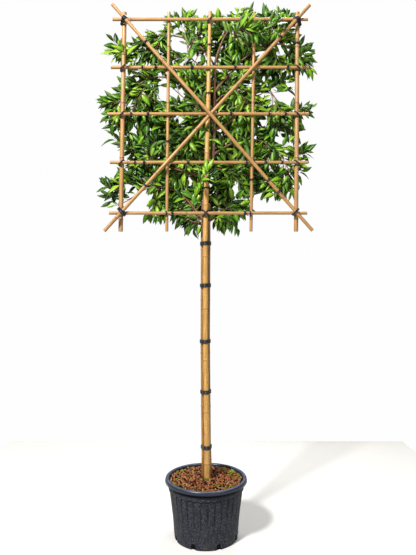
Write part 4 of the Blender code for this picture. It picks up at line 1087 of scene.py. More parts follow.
@dataclass
class BambooFrame:
    """All the canes: the lattice of rows, uprights and diagonals, and the three canes of the stem."""

    row_spacing: float = 0.36
    upright_spacing: float = 0.34
    main_spacing: float = 0.315
    rear_spacing: float = 0.33
    keep_off: float = 0.034
    from_end: float = 0.020
    first_share: float = 0.3
    sharp_degrees: float = 55

    def nodes_on(
        self, length: float, spacing: float, crossings: list[float], buried: float = 0
    ) -> list[float]:
        """Distances of a cane's nodes from its foot, each moved off any crossing that it would foul.

        Args:
            length: The cane's length.
            spacing: Distance from node to node.
            crossings: Distances of crossings and ties.
            buried: Length below the substrate.

        Returns:
            The distances.
        """
        nodes = []
        for s in np.arange(buried + self.first_share * spacing, length - self.from_end, spacing):
            for crossing in crossings:
                if abs(s - crossing) < self.keep_off:
                    s = crossing + math.copysign(self.keep_off, s - crossing)
            if self.from_end < s < length - self.from_end:
                nodes.append(float(s))
        return nodes

    def lattice(self) -> list[Cane]:
        """The rows, uprights and diagonals."""
        canes = []
        for name, z, left, right in ROWS:
            places = [upright_x(u, z) for u in UPRIGHTS] + [main_cane_at(z)[0]]
            places += [x0 + (x1 - x0) * (z - z0) / (z1 - z0) for _, (x0, z0, x1, z1), _ in DIAGONALS]
            crossings = [x - left for x in places]
            course = np.array([(left, ROW_Y, z, ROW_RADIUS), (right, ROW_Y, z, ROW_RADIUS)])
            canes.append(Cane(name, course, self.nodes_on(right - left, self.row_spacing, crossings)))
        for name, top_x, foot_x, radius in UPRIGHTS:
            y = BEHIND_ROWS + radius
            course = np.array([(foot_x, y, UPRIGHT_FOOT, radius), (top_x, y, UPRIGHT_TOP, radius)])
            crossings = [z - UPRIGHT_FOOT for _, z, _, _ in ROWS]
            nodes = self.nodes_on(UPRIGHT_TOP - UPRIGHT_FOOT, self.upright_spacing, crossings)
            canes.append(Cane(name, course, nodes))
        for name, (x0, z0, x1, z1), bow in DIAGONALS:
            length = math.hypot(x1 - x0, z1 - z0)
            t = np.linspace(0, 1, 41)
            middle = [x0 + (x1 - x0) * t, diagonal_y(bow, t), z0 + (z1 - z0) * t]
            crossings = [length * (z - z0) / (z1 - z0) for _, z, _, _ in ROWS] + [length / 2]
            nodes = self.nodes_on(length, self.row_spacing, crossings)
            canes.append(Cane(name, np.stack([*middle, np.full_like(t, DIAGONAL_RADIUS)], -1), nodes))
        return canes

    def stem(self) -> list[Cane]:
        """The long cane and the two rear canes, from their buried feet up."""
        foot = SOIL_TOP - SOCKET_DEPTH
        ties = [h - foot for h in STEM_TIES]
        z = np.unique(np.concatenate([np.linspace(foot, MAIN_CANE[-1, 0], 90), MAIN_CANE[1:, 0]]))
        x, y, radius = main_cane_at(z)
        crossings = [h - foot for _, h, _, _ in ROWS] + ties
        nodes = self.nodes_on(z[-1] - foot, self.main_spacing, crossings, SOCKET_DEPTH)
        canes = [Cane("cane_main", np.stack([x, y, z, radius], -1), nodes)]
        for name, xs in REAR_CANES.items():
            course = np.array([(x, REAR_CANE_Y, z, REAR_CANE_RADIUS) for x, z in zip(xs, REAR_CANE_HEIGHTS)])
            nodes = self.nodes_on(REAR_CANE_HEIGHTS[-1] - foot, self.rear_spacing, ties, SOCKET_DEPTH)
            canes.append(Cane(name, course, nodes))
        return canes

    def build(self) -> list[Piece]:
        """The lattice and the stem's canes."""
        tan = BambooFinish("bamboo_tan", (0.555, 0.330, 0.122), (0.270, 0.125, 0.038))
        # The long cane's golden bamboo is partly its own tone and partly painted highlight; the rear canes'
        # darker amber with near-black streaks is partly their own tone and partly painted shade between the
        # canes
        gold = BambooFinish("bamboo_golden_lit", (0.765, 0.482, 0.152), (0.320, 0.140, 0.027), 0.35)
        shaded_amber = BambooFinish("bamboo_amber_shaded", (0.610, 0.325, 0.070), (0.120, 0.042, 0.006), 0.35)
        main, *rear = self.stem()
        pieces = []
        sets = (
            ("lattice_canes", self.lattice(), tan),
            ("main_cane", [main], gold),
            ("rear_canes", rear, shaded_amber),
        )
        for name, canes, finish in sets:
            shape = joined([cane.shape(i) for i, cane in enumerate(canes)])
            piece = add_piece(name, shape, [finish.material()], True, self.sharp_degrees)
            pieces.append((piece, "bamboo", [cane.name for cane in canes]))
        return pieces


Places = tuple[tuple[int, tuple[float, ...]], ...]
TIE_CLEAR = 0.0006
TIE_SPAN = 0.020
TWIG_HALF = 0.004


@dataclass
class Member:
    """A cane's section in the plane of a tie: its middle and half sizes."""

    across: float
    along: float
    half_across: float
    half_along: float


def outline_round(members: list[Member], turn: Array, clear: float) -> Array:
    """The taut line round ellipses: for each direction, the furthest point of them all, set off by clear.

    Args:
        members: The ellipses.
        turn: Directions in radians.
        clear: The offset outwards.

    Returns:
        Two offsets for each direction.
    """
    c, s = np.cos(turn), np.sin(turn)
    rows = [(m.across, m.along, m.half_across, m.half_along) for m in members]
    spans = np.stack([a * c + b * s + np.hypot(half_a * c, half_b * s) for a, b, half_a, half_b in rows])
    size = np.array(rows)[spans.argmax(0)]
    span = np.maximum(np.hypot(size[:, 2] * c, size[:, 3] * s), 1e-6)
    first = size[:, 0] + size[:, 2] ** 2 * c / span + clear * c
    second = size[:, 1] + size[:, 3] ** 2 * s / span + clear * s
    return np.stack([first, second], -1)


def diagonal_at(x: float, z: float, rises: bool, lean: float) -> Section:
    """The section of the diagonal that passes a corner: its offset, y, radius and slope in degrees.

    Args:
        x: Place of the corner.
        z: Height of the corner.
        rises: Whether it is the rising one.
        lean: Slope of the tie's plane in degrees.

    Returns:
        The section.
    """
    _, (x0, z0, x1, z1), bow = DIAGONALS[1 if rises else 0]
    slope = math.atan2(z1 - z0, x1 - x0)
    offset = ((x - x0) * math.sin(slope) - (z - z0) * math.cos(slope)) / math.sin(math.radians(lean) - slope)
    return offset, diagonal_y(bow, (x - x0) / (x1 - x0)), DIAGONAL_RADIUS, math.degrees(slope)


@dataclass
class Ties:
    """Every tie: rubber wound round the stem's bundle, and thin line at the crossings of the lattice."""

    stem_strand: float = 0.0023
    stem_turns: int = 5
    stem_rises: tuple[float, float] = (0.011, -0.002)
    strand: float = 0.0016
    steps: int = 56
    sides: int = 8
    on_rows: Places = (
        (0, (0.244, 0.447)),
        (1, (-0.384, -0.303, -0.085, 0.175, 0.493)),
        (2, (-0.452, -0.350, 0.151, 0.382, 0.479)),
        (3, (-0.429, -0.373, -0.108, 0.245, 0.288, 0.359, 0.459)),
        (4, (-0.239, -0.203, 0.235, 0.266)),
    )
    on_diagonals: Places = ((0, (-0.361, 0.372, 0.434)), (1, (0.448, -0.363)))
    on_uprights: tuple[tuple[int, float], ...] = ((1, 2.416), (2, 2.184), (3, 3.013))
    on_main: tuple[float, ...] = (3.003, 2.709, 2.135)
    row_on_main: int = 4
    left_shifts: tuple[tuple[float, float], ...] = ((0.009, 0.0), (0, 0), (0, 0), (0, 0), (0.010, 0.008))
    right_shifts: tuple[tuple[float, float], ...] = ((-0.014, 0.0), (0, 0), (0, 0), (0, 0), (-0.007, 0.006))

    def wound(
        self,
        middle: Array,
        across: Array,
        members: list[Member],
        turns: float,
        strand: float,
        seed: int,
        rise: float = 0,
    ) -> list[Shape]:
        """A line wound round its members, its last turn crossing over the others.

        Args:
            middle: The tie's middle.
            across: The direction of the members' first offsets; the second is +Y.
            members: What it goes round.
            turns: Number of turns.
            strand: Radius of the line.
            seed: Varies the lie of the turns.
            rise: How far the front of each turn is lifted.

        Returns:
            The line and its knot.
        """
        rng = np.random.default_rng(seed)
        axis = np.cross(across, BACK)
        axis = axis if axis[2] >= 0 else -axis
        t = np.arange(int(self.steps * turns) + 1) / self.steps
        flat = outline_round(members, 2 * math.pi * t + 0.6, TIE_CLEAR + strand)
        uneven = waves(t[:, None] * RIGHT, 4.0, seed)
        lift = (t - turns / 2) * 2.02 * strand + 0.25 * strand * uneven
        path = middle + flat[:, :1] * across + flat[:, 1:] * BACK + lift[:, None] * axis
        path[:, 2] += rise * np.clip(-flat[:, 1] / 0.05, -0.4, 1)
        front = path[flat[:, 1].argmin()] + np.array([0, -0.6 * strand, 0])
        turn = np.linspace(0, 2 * math.pi * 1.6, 22)
        knot = np.stack([1.7 * np.cos(turn), -0.5 + 0.8 * np.sin(turn * 0.5), 1.5 * np.sin(turn)], -1)
        lines = [(path, np.full(len(path), strand))]
        lines.append((front + strand * knot, np.full(len(knot), strand * 0.95)))
        k = np.linspace(0, 1, 9)
        for side in (-1, 1):
            reach, fall = rng.uniform(0.010, 0.020), rng.uniform(0.3, 1.1)
            y, z = -strand * 1.2 - 0.004 * np.sin(2.4 * k), -reach * fall * k**2 + 0.003 * k
            tail = np.stack([side * reach * k * 0.8, y, z], -1)
            lines.append((front + tail, np.linspace(strand, strand * 0.7, 9)))
        return [closed_tube(line, radii, self.sides) for line, radii in lines]

    def stem_ties(self) -> list[Shape]:
        """The wound ties that hold the trunk to its three canes."""
        shapes = []
        for i, z in enumerate(STEM_TIES):
            x, y, radius = main_cane_at(z)
            trunk = trunk_at(z)
            rounds = [(x, y, radius), (trunk[0], trunk[1], trunk[3])]
            rounds += [(side, REAR_CANE_Y, REAR_CANE_RADIUS) for side in rear_canes_at(z)]
            members = [Member(a, b, half, half) for a, b, half in rounds]
            rise = float(np.interp(z, (STEM_TIES[-1], STEM_TIES[0]), self.stem_rises))
            shapes += self.wound(UP * z, RIGHT, members, self.stem_turns, self.stem_strand, i, rise)[:1]
        return shapes

    def crossing(
        self, x: float, z: float, members: list[Section], lean: float, turns: float, seed: int
    ) -> list[Shape]:
        """A slanted tie round canes that cross near (x, z).

        Args:
            x: Place of the crossing.
            z: Height of the crossing.
            members: Offset, y, radius and slope in degrees of each cane.
            lean: Slope of the tie's plane in degrees.
            turns: Number of turns.
            seed: Varies the lie of the turns.

        Returns:
            The line and its knot.
        """
        tilt = math.radians(lean)
        sections = []
        for offset, y, radius, slope in members:
            gap = math.radians(slope) - tilt
            stray = 0.003 * abs(math.cos(gap) / math.sin(gap))
            sections.append(Member(offset, y, radius / abs(math.sin(gap)) + stray, radius))
        across = np.array([math.cos(tilt), 0.0, math.sin(tilt)])
        return self.wound(np.array([x, 0.0, z]), across, sections, turns, self.strand, seed)

    def lattice_ties(self) -> list[Shape]:
        """The record's ties: at both sides of every row, and where the long cane passes the top row."""
        shapes = []
        sides = ((-1, UPRIGHTS[0], self.left_shifts), (1, UPRIGHTS[3], self.right_shifts))
        for side, upright, shifts in sides:
            slope = math.degrees(math.atan2(UPRIGHT_TOP - UPRIGHT_FOOT, upright[1] - upright[2]))
            for row, ((_, z, _, _), (dx, dz)) in enumerate(zip(ROWS, shifts)):
                x = upright_x(upright, z)
                rises = (side < 0) == (row == len(ROWS) - 1)
                lean = -45 if rises else 45
                off_row, off_upright = -dz / math.sin(math.radians(lean)), -dx / math.cos(math.radians(lean))
                members = [(off_row, ROW_Y, ROW_RADIUS, 0.0)]
                members.append((off_upright, BEHIND_ROWS + upright[3], upright[3], slope))
                x, z, turns = x + dx, z + dz, 3.0
                if row in (0, len(ROWS) - 1):
                    members.append(diagonal_at(x, z, rises, lean))
                    turns = 4.0 if (side, row) == (1, len(ROWS) - 1) else 7.0
                shapes += self.crossing(x, z, members, lean, turns, 10 * row + side + 1)
        top = ROWS[0][1]
        (x, y, _), (below, _, radius) = main_cane_at(top), main_cane_at(top - TIE_SPAN)
        slope = math.degrees(math.atan2(TIE_SPAN, x - below))
        members = [(0.0, ROW_Y, ROW_RADIUS, 0.0), (0.0, y, radius, slope)]
        return shapes + self.crossing(x, top, members, 45, 3.0, 77)

    def further_ties(self) -> list[Shape]:
        """The small ties that hold twigs to the canes, and the lashing of the long cane to the lowest row."""
        ties = []
        for row, places in self.on_rows:
            for k, x in enumerate(places):
                twig = (0.0, ROW_Y + 0.014)
                ties.append((x, ROWS[row][1], UP, ROW_Y, ROW_RADIUS, twig, 3.0 + k % 3, 200 + 9 * row + k))
        for which, places in self.on_diagonals:
            _, (x0, z0, x1, z1), bow = DIAGONALS[which]
            slope = math.atan2(z1 - z0, x1 - x0)
            across = np.array([-math.sin(slope), 0.0, math.cos(slope)])
            for k, x in enumerate(places):
                t = (x - x0) / (x1 - x0)
                y, z = diagonal_y(bow, t), z0 + (z1 - z0) * t
                ties.append((x, z, across, y, DIAGONAL_RADIUS, (0.0, y + 0.016), 4.0, 260 + 5 * which + k))
        for k, (which, z) in enumerate(self.on_uprights):
            radius = UPRIGHTS[which][3]
            y, x = BEHIND_ROWS + radius, upright_x(UPRIGHTS[which], z)
            ties.append((x, z, RIGHT, y, radius, (0.003, y + radius + TWIG_HALF), 4.0, 280 + k))
        for k, z in enumerate(self.on_main):
            x, y, radius = main_cane_at(z)
            ties.append((x, z, RIGHT, y, radius, (0.004, y + radius + TWIG_HALF), 3.0, 300 + k))
        shapes = []
        for x, z, across, y, radius, twig, turns, seed in ties:
            members = [Member(0.0, y, radius, radius), Member(*twig, TWIG_HALF, TWIG_HALF)]
            shapes += self.wound(np.array([x, 0, z]), across, members, turns, self.strand * 0.9, seed)
        z = ROWS[self.row_on_main][1]
        x, y, radius = main_cane_at(z)
        for lean, clear in ((45, 0.0), (-45, 2.2 * self.strand)):
            members = [(0.0, ROW_Y, ROW_RADIUS + clear, 0.0), (0.0, y, radius + clear, 90.0)]
            shapes += self.crossing(x, z, members, lean, 3.0, 320 + lean)
        return shapes

    def build(self) -> list[Piece]:
        """The ties of the stem, of the lattice and of the twigs."""
        stem = [f"stem_tie_{i + 1}" for i in range(len(STEM_TIES))]
        named = [f"tie_{side}_row_{i + 1}" for side in ("left", "right") for i in range(len(ROWS))]
        finish = [TieFinish("black_tie").material()]
        sets = (
            ("stem_windings", self.stem_ties(), stem),
            ("lattice_windings", self.lattice_ties(), [*named, "tie_middle_row_1"]),
            ("twig_windings", self.further_ties(), []),
        )
        return [(add_piece(name, joined(shapes), finish), "ties", nodes) for name, shapes, nodes in sets]


# Height, x, y and radius of the trunk
TRUNK = np.array(
    [
        (0.364, 0.000, 0.0000, 0.0188), (0.42, 0.000, 0.0000, 0.0172), (0.70, 0.000, 0.0000, 0.0163),
        (1.75, -0.001, -0.0010, 0.0150), (1.93, -0.012, -0.0055, 0.0143), (2.03, -0.015, -0.0060, 0.0138),
        (2.17, 0.006, -0.0055, 0.0128), (2.32, 0.040, -0.0040, 0.0115), (2.45, 0.050, -0.0030, 0.0105),
        (2.65, 0.050, -0.0020, 0.0095), (2.80, 0.052, 0.0000, 0.0085), (2.92, 0.056, 0.0000, 0.0070),
        (2.98, 0.075, -0.0030, 0.0060), (3.035, 0.095, -0.0060, 0.0052), (3.080, 0.118, -0.0090, 0.0045),
        (3.109, 0.141, -0.0120, 0.0038),
    ]
)
BOUGH_PULL = 0.42
BOUGH_BACKWARD = 0.25


def trunk_at(z: Array | float) -> Array:
    """x, y, z and radius of the trunk by height."""
    z = np.clip(z, TRUNK[0, 0], TRUNK[-1, 0])
    x, y, radius = (np.interp(z, TRUNK[:, 0], TRUNK[:, k]) for k in (1, 2, 3))
    return np.stack([x, y, z, radius], -1)


@dataclass(frozen=True)
class Bough:
    """A main bough: where it leaves the trunk, its tip, its slopes in degrees and its radii."""

    name: str
    leaves_at: float
    tip: Triple
    slopes: tuple[float, float]
    radii: tuple[float, float]

    def course(self, t: Array) -> Array:
        """Points on the cubic curve from the trunk's middle to the tip.

        Args:
            t: Shares of the run.

        Returns:
            Points (count, 3).
        """
        start, tip = trunk_at(self.leaves_at)[:3], np.array(self.tip)
        side = math.copysign(1.0, tip[0] - start[0])
        pull = BOUGH_PULL * float(np.linalg.norm(tip - start))
        rise, fall = (math.radians(slope) for slope in self.slopes)
        first = start + pull * np.array([side * math.cos(rise), BOUGH_BACKWARD, math.sin(rise)])
        second = tip - pull * np.array([side * math.cos(fall), 0.0, math.sin(fall)])
        return cubic(start, first, second, tip, t)

    def runs(self) -> Array:
        """The bough as straight runs."""
        t = np.linspace(0, 1, 9)
        return runs_of(np.concatenate([self.course(t), np.interp(t, [0, 1], self.radii)[:, None]], 1))


BOUGHS = (
    Bough("bough_top_left", 2.885, (-0.262, 0.012, 3.088), (68, 0), (0.0062, 0.0042)),
    Bough("bough_top_left_short", 2.780, (-0.060, 0.034, 2.925), (55, 35), (0.0052, 0.0038)),
    Bough("bough_top_right", 2.735, (0.355, 0.010, 3.022), (52, 28), (0.0068, 0.0042)),
    Bough("bough_upper_right_short", 2.660, (0.150, 0.026, 2.765), (48, 40), (0.0055, 0.0040)),
    Bough("bough_upper_right", 2.500, (0.352, 0.016, 2.758), (18, 30), (0.0070, 0.0042)),
    Bough("bough_lower_right", 2.345, (0.362, 0.012, 2.425), (35, -22), (0.0068, 0.0042)),
    Bough("bough_lower_right_short", 2.260, (0.140, 0.030, 2.243), (6, -18), (0.0058, 0.0040)),
    Bough("bough_foot_right", 1.925, (0.082, 0.022, 1.968), (28, 20), (0.0055, 0.0040)),
    Bough("bough_foot_left", 1.945, (-0.272, 0.010, 2.150), (48, 10), (0.0075, 0.0048)),
    Bough("bough_lower_left", 2.200, (-0.292, 0.012, 2.295), (16, 18), (0.0068, 0.0042)),
    Bough("bough_lower_left_short", 2.325, (-0.068, 0.034, 2.452), (62, 34), (0.0055, 0.0040)),
    Bough("bough_upper_left", 2.555, (-0.312, 0.010, 2.826), (42, -8), (0.0070, 0.0042)),
)


@dataclass
class Wood:
    """The trunk and the main boughs, with bark in relief."""

    sides: int = 28
    spacing: float = 0.008
    bed: float = 0.352
    flare: float = 0.0055
    flare_height: float = 0.035
    flare_turns: Triple = (-0.30, 3.44, 1.571)
    relief: float = 0.0005
    scars: int = 26
    scar_turns: Triple = (-0.2, 3.35, 1.571)

    def trunk(self) -> Shape:
        """The trunk: eased at its bends, with low ridges, scars of cut twigs and spreading root lobes."""
        z = np.arange(TRUNK[0, 0], TRUNK[-1, 0], self.spacing)
        course = sum(trunk_at(z + shift) for shift in (-0.02, -0.01, 0.0, 0.01, 0.02)) / 5
        course[:, 2] = z
        course[0, 2] = self.bed
        turn = full_turn(self.sides)
        rng = np.random.default_rng(4)
        places, along = on_ring(turn, 2.2)[None], np.stack([z * 0, z * 0, z], -1)[:, None]
        bark = waves(places * 1.6 + along * 22, 1.0, 9) + 0.5 * waves(places * 3 + along * 90, 1.0, 12)
        spots = rng.uniform(0.55, 3.0, self.scars)
        facing = rng.choice(self.scar_turns, self.scars) + rng.normal(0, 0.25, self.scars)
        knob = bell(z[:, None] - spots, 0.007) @ bell(angle_between(turn[None], facing[:, None]), 0.30)
        radii = course[:, 3:] + self.relief * bark + 0.0020 * np.clip(knob, 0, 1)
        for lobe in self.flare_turns:
            near = bell(angle_between(turn, lobe), 0.38)
            radii = radii + self.flare * np.exp(-(z - z[0]) / self.flare_height)[:, None] * near
        return closed_tubes(course[None, :, :3], radii[None], self.sides, BACK[None])

    def bough(self, bough: Bough, index: int) -> Shape:
        """A bough: it thins evenly from a swollen collar at the trunk, with low ridges and leaf scars.

        Args:
            bough: The bough.
            index: Its number, which varies its looks.

        Returns:
            The surface.
        """
        t = np.linspace(0, 1, 44)
        path = bough.course(t)
        length = float(steps_of(path).sum())
        sides = self.sides // 2
        radius = bough.radii[0] + (bough.radii[1] - bough.radii[0]) * t
        radius = radius * (1 + 0.55 * np.exp(-t * length / 0.016))
        rings = on_ring(full_turn(sides), 2.0)[None] + (t * length)[:, None, None] * [0, 0, 60.0]
        radii = radius[:, None] * (1 + 0.06 * waves(rings, 1.0, 40 + index))
        radii = radii * (1 + 0.14 * bell((t * length) % 0.045 - 0.022, 0.003))[:, None]
        return closed_tube(path, radii, sides)

    def build(self) -> list[Piece]:
        """The trunk and the boughs."""
        finish = BarkFinish("laurel_bark", (0.200, 0.082, 0.036), (0.200, 0.125, 0.072), (0.36, 0.26, 0.18))
        bark = [finish.material()]
        boughs = joined([self.bough(bough, i) for i, bough in enumerate(BOUGHS)])
        return [
            (add_piece("trunk_wood", self.trunk(), bark), "bark", ["trunk"]),
            (add_piece("bough_wood", boughs, bark), "bark", [bough.name for bough in BOUGHS]),
        ]


VIEW_FROM = 3.3
VIEW_HEIGHT = 1.59
VIEW_X = 0.0117


@dataclass(frozen=True)
class Block:
    """The part of the crown that one foliage mass keeps to, and the limb that it grows from."""

    name: str
    carrier: str
    leaves_at: float
    x_low: float
    x_high: float
    z_low: float
    z_high: float
    tips: tuple[tuple[float, float], ...] = ()
    across: float = 1.56

    def middle(self, y: float) -> Array:
        """The middle of the block's face at a depth."""
        return np.array([(self.x_low + self.x_high) / 2, y, (self.z_low + self.z_high) / 2])


BLOCKS = (
    Block(
        "foliage_top_left", "bough_top_left", 0, -0.628, -0.252, 2.912, 3.118,
        ((-0.620, 2.972), (-0.606, 3.060)),
    ),
    Block(
        "foliage_top_left_inner", "bough_top_left_short", 0, -0.249, 0.050, 2.912, 3.240, ((-0.102, 3.234),)
    ),
    Block("foliage_top_middle", "trunk_tip", 0, 0.053, 0.341, 2.965, 3.280, ((0.236, 3.272), (0.297, 3.258))),
    Block(
        "foliage_top_right", "bough_top_right", 0, 0.345, 0.695, 2.830, 3.250,
        ((0.506, 3.243), (0.685, 2.883)),
    ),
    Block(
        "foliage_upper_left", "bough_upper_left", 0, -0.690, -0.300, 2.520, 2.908,
        ((-0.682, 2.645), (-0.638, 2.559)),
    ),
    Block("foliage_upper_left_inner", "trunk", 2.600, -0.296, 0.050, 2.502, 2.908),
    Block("foliage_upper_right_inner", "bough_upper_right_short", 0, 0.054, 0.336, 2.520, 2.961),
    Block(
        "foliage_upper_right", "bough_upper_right", 0, 0.341, 0.682, 2.462, 2.826,
        ((0.674, 2.599), (0.645, 2.650)), 0.55,
    ),
    Block("foliage_lower_left", "bough_lower_left", 0, -0.622, -0.282, 2.272, 2.516, ((-0.610, 2.485),)),
    Block("foliage_lower_left_inner", "bough_lower_left_short", 0, -0.278, 0.046, 2.166, 2.498),
    Block("foliage_lower_right_inner", "bough_lower_right_short", 0, 0.050, 0.345, 2.134, 2.516),
    Block(
        "foliage_lower_right", "bough_lower_right", 0, 0.350, 0.632, 2.085, 2.458,
        ((0.611, 2.376), (0.624, 2.241)),
    ),
    Block(
        "foliage_foot_left", "bough_foot_left", 0, -0.656, -0.258, 1.925, 2.268,
        ((-0.650, 2.094), (-0.263, 1.932)),
    ),
    Block("foliage_foot_left_inner", "trunk", 1.905, -0.254, 0.000, 1.832, 2.162, ((-0.097, 1.838),)),
    Block(
        "foliage_foot_right_inner", "bough_foot_right", 0, 0.004, 0.247, 1.826, 2.130,
        ((0.062, 1.833), (0.202, 1.881)),
    ),
)

# Parts of the crown's face as x, z, half width, half height and power of an oval: above 2 it grows squarer
LOBES = np.array(
    [
        (0.285, 3.038, 0.252, 0.187, 4), (-0.114, 3.047, 0.144, 0.135, 4), (-0.354, 2.966, 0.144, 0.091, 3),
        (0.020, 2.580, 0.500, 0.300, 6), (0.035, 2.159, 0.384, 0.168, 5), (-0.436, 2.231, 0.091, 0.091, 3),
        (0.445, 2.168, 0.085, 0.094, 3), (-0.099, 2.039, 0.106, 0.058, 2), (0.131, 2.039, 0.115, 0.058, 2),
        (-0.109, 3.186, 0.035, 0.031, 2), (0.040, 3.172, 0.023, 0.022, 2), (0.245, 3.198, 0.060, 0.046, 2),
        (0.511, 3.190, 0.030, 0.036, 2), (-0.245, 3.150, 0.050, 0.040, 2), (-0.315, 3.085, 0.075, 0.062, 2),
        (0.592, 2.925, 0.082, 0.072, 2), (-0.545, 2.978, 0.048, 0.045, 2), (-0.500, 2.745, 0.040, 0.060, 2),
        (-0.590, 2.655, 0.070, 0.050, 2), (-0.545, 2.560, 0.062, 0.050, 2), (-0.492, 2.450, 0.030, 0.055, 2),
        (0.612, 2.628, 0.060, 0.034, 2), (0.530, 2.500, 0.050, 0.068, 2), (0.597, 2.327, 0.040, 0.060, 2),
        (0.597, 2.265, 0.037, 0.037, 2), (-0.575, 2.158, 0.058, 0.032, 2), (-0.301, 2.002, 0.088, 0.026, 2),
        (-0.092, 1.940, 0.056, 0.058, 2), (0.095, 1.945, 0.074, 0.062, 2), (0.261, 1.977, 0.053, 0.027, 2),
    ]
)
WINDOWS = np.array(
    [
        (-0.455, 3.112, 0.056, 0.058, 2), (-0.375, 3.150, 0.046, 0.022, 2), (-0.159, 3.020, 0.050, 0.050, 2),
        (-0.042, 2.930, 0.040, 0.033, 2), (0.480, 3.000, 0.046, 0.056, 2), (-0.258, 2.742, 0.040, 0.076, 2),
        (-0.180, 2.722, 0.046, 0.060, 2), (0.450, 2.690, 0.100, 0.036, 2), (-0.441, 2.486, 0.023, 0.025, 2),
        (0.350, 2.540, 0.042, 0.024, 2), (-0.167, 2.561, 0.040, 0.020, 2), (0.195, 2.742, 0.034, 0.026, 2),
        (0.447, 2.440, 0.028, 0.036, 2), (-0.117, 2.169, 0.026, 0.016, 2), (0.300, 2.450, 0.024, 0.022, 2),
        (-0.421, 2.073, 0.075, 0.050, 2), (0.188, 2.130, 0.038, 0.030, 2), (-0.165, 3.138, 0.042, 0.020, 2),
        (0.424, 2.025, 0.120, 0.038, 2), (-0.099, 2.178, 0.017, 0.019, 2), (0.079, 2.483, 0.017, 0.017, 2),
        (0.189, 2.846, 0.015, 0.023, 2), (-0.426, 2.812, 0.027, 0.017, 2), (0.622, 2.722, 0.072, 0.052, 2),
        (0.391, 2.010, 0.077, 0.038, 2), (-0.455, 2.020, 0.058, 0.058, 2), (0.498, 2.327, 0.015, 0.019, 2),
    ]
)
HEART = np.array([(-0.03, 2.40, 0.38, 0.42, 4), (0.38, 3.04, 0.19, 0.15, 3)])
FRONT = np.array(
    [
        (0.235, 3.145, 0.050, 0.042, 2), (0.328, 3.140, 0.040, 0.060, 2), (0.160, 3.132, 0.036, 0.034, 2),
        (0.425, 3.160, 0.030, 0.030, 2), (0.016, 2.462, 0.030, 0.045, 2), (0.012, 2.193, 0.043, 0.070, 2),
        (-0.522, 2.999, 0.038, 0.038, 2), (0.575, 2.955, 0.030, 0.035, 2), (0.575, 2.620, 0.030, 0.025, 2),
        (-0.517, 2.193, 0.043, 0.048, 2), (-0.292, 1.991, 0.058, 0.029, 2),
    ]
)


def seen(points: Array) -> tuple[Array, Array]:
    """Where points show, from the photograph's viewpoint, on the upright plane through the trunk: x and z."""
    share = VIEW_FROM / (VIEW_FROM + points[..., 1])
    return VIEW_X + (points[..., 0] - VIEW_X) * share, VIEW_HEIGHT + (points[..., 2] - VIEW_HEIGHT) * share


def unseen(x: Array, y: Array, z: Array) -> Array:
    """The points at depth y that show at x and z of that plane."""
    share = (VIEW_FROM + y) / VIEW_FROM
    return np.stack([VIEW_X + (x - VIEW_X) * share, y, VIEW_HEIGHT + (z - VIEW_HEIGHT) * share], -1)


def within(ovals: Array, x: Array, z: Array) -> Array:
    """Whether each place lies in any of the ovals: |dx / half|^power + |dz / half|^power is below 1."""
    x, z = np.asarray(x)[..., None], np.asarray(z)[..., None]
    off_x, off_z = np.abs((x - ovals[:, 0]) / ovals[:, 2]), np.abs((z - ovals[:, 1]) / ovals[:, 3])
    return (off_x ** ovals[:, 4] + off_z ** ovals[:, 4] < 1).any(-1)


def gap_to(limbs: Array, points: Array) -> Array:
    """Distance from points to the nearest limb's surface.

    Args:
        limbs: Straight runs as two ends and a radius, seven values each.
        points: Points (count, 3).

    Returns:
        One distance a point.
    """
    start, end, radius = limbs[:, :3], limbs[:, 3:6], limbs[:, 6]
    run = end - start
    best = np.full(len(points), np.inf)
    for first in range(0, len(points), 4000):
        part = points[first : first + 4000]
        t = np.clip(((part[:, None] - start) * run).sum(-1) / (run**2).sum(-1), 0, 1)
        away = np.linalg.norm(part[:, None] - start - t[..., None] * run, axis=-1) - radius
        best[first : first + 4000] = away.min(1)
    return best


def runs_of(course: Array) -> Array:
    """The straight runs between a course's points, as two ends and the larger radius."""
    return np.concatenate([course[:-1, :3], course[1:, :3], np.maximum(course[:-1, 3:], course[1:, 3:])], 1)


@dataclass
class Twig:
    """A twig: its path, what it grew from, whether it passes before the canes and how many it carries."""

    path: Array
    parent: int = -1
    front: bool = False
    load: int = 1


@dataclass
class LeafBed:
    """Where leaves sit: their feet, directions, faces, sizes and tones, one row a leaf."""

    base: Array
    along: Array
    face: Array
    length: Array
    width: Array
    droop: Array
    fold: Array
    sickle: Array
    tone: Array

    def chosen(self, keep: Array) -> "LeafBed":
        """Only the leaves that are kept."""
        return LeafBed(*(getattr(self, key)[keep] for key in self.__dataclass_fields__))


LEAF_STATIONS = np.array([-0.13, 0.0, 0.17, 0.42, 0.70, 1.0])
LEAF_HALVES = np.array([0.070, 0.085, 0.66, 1.0, 0.70, 0.03])
LEAF_THICK = 0.00035
LEAF_TURN = 2.39996


def leaf_middles(bed: LeafBed) -> tuple[Array, Array]:
    """Points down the middle of each leaf, and its sideways direction.

    The middle runs straight on, less droop * share^2 of the length towards its underside and plus
    sickle * share^2 to one side.

    Args:
        bed: The leaves.

    Returns:
        Points (count, stations, 3), and directions (count, 3).
    """
    beside = np.cross(bed.face, bed.along)
    share = (LEAF_STATIONS - LEAF_STATIONS[0])[None, :, None]
    length = bed.length[:, None, None]
    middle = bed.base[:, None] + bed.along[:, None] * length * share
    middle = middle - bed.face[:, None] * length * bed.droop[:, None, None] * share**2
    return middle + beside[:, None] * length * bed.sickle[:, None, None] * share**2, beside


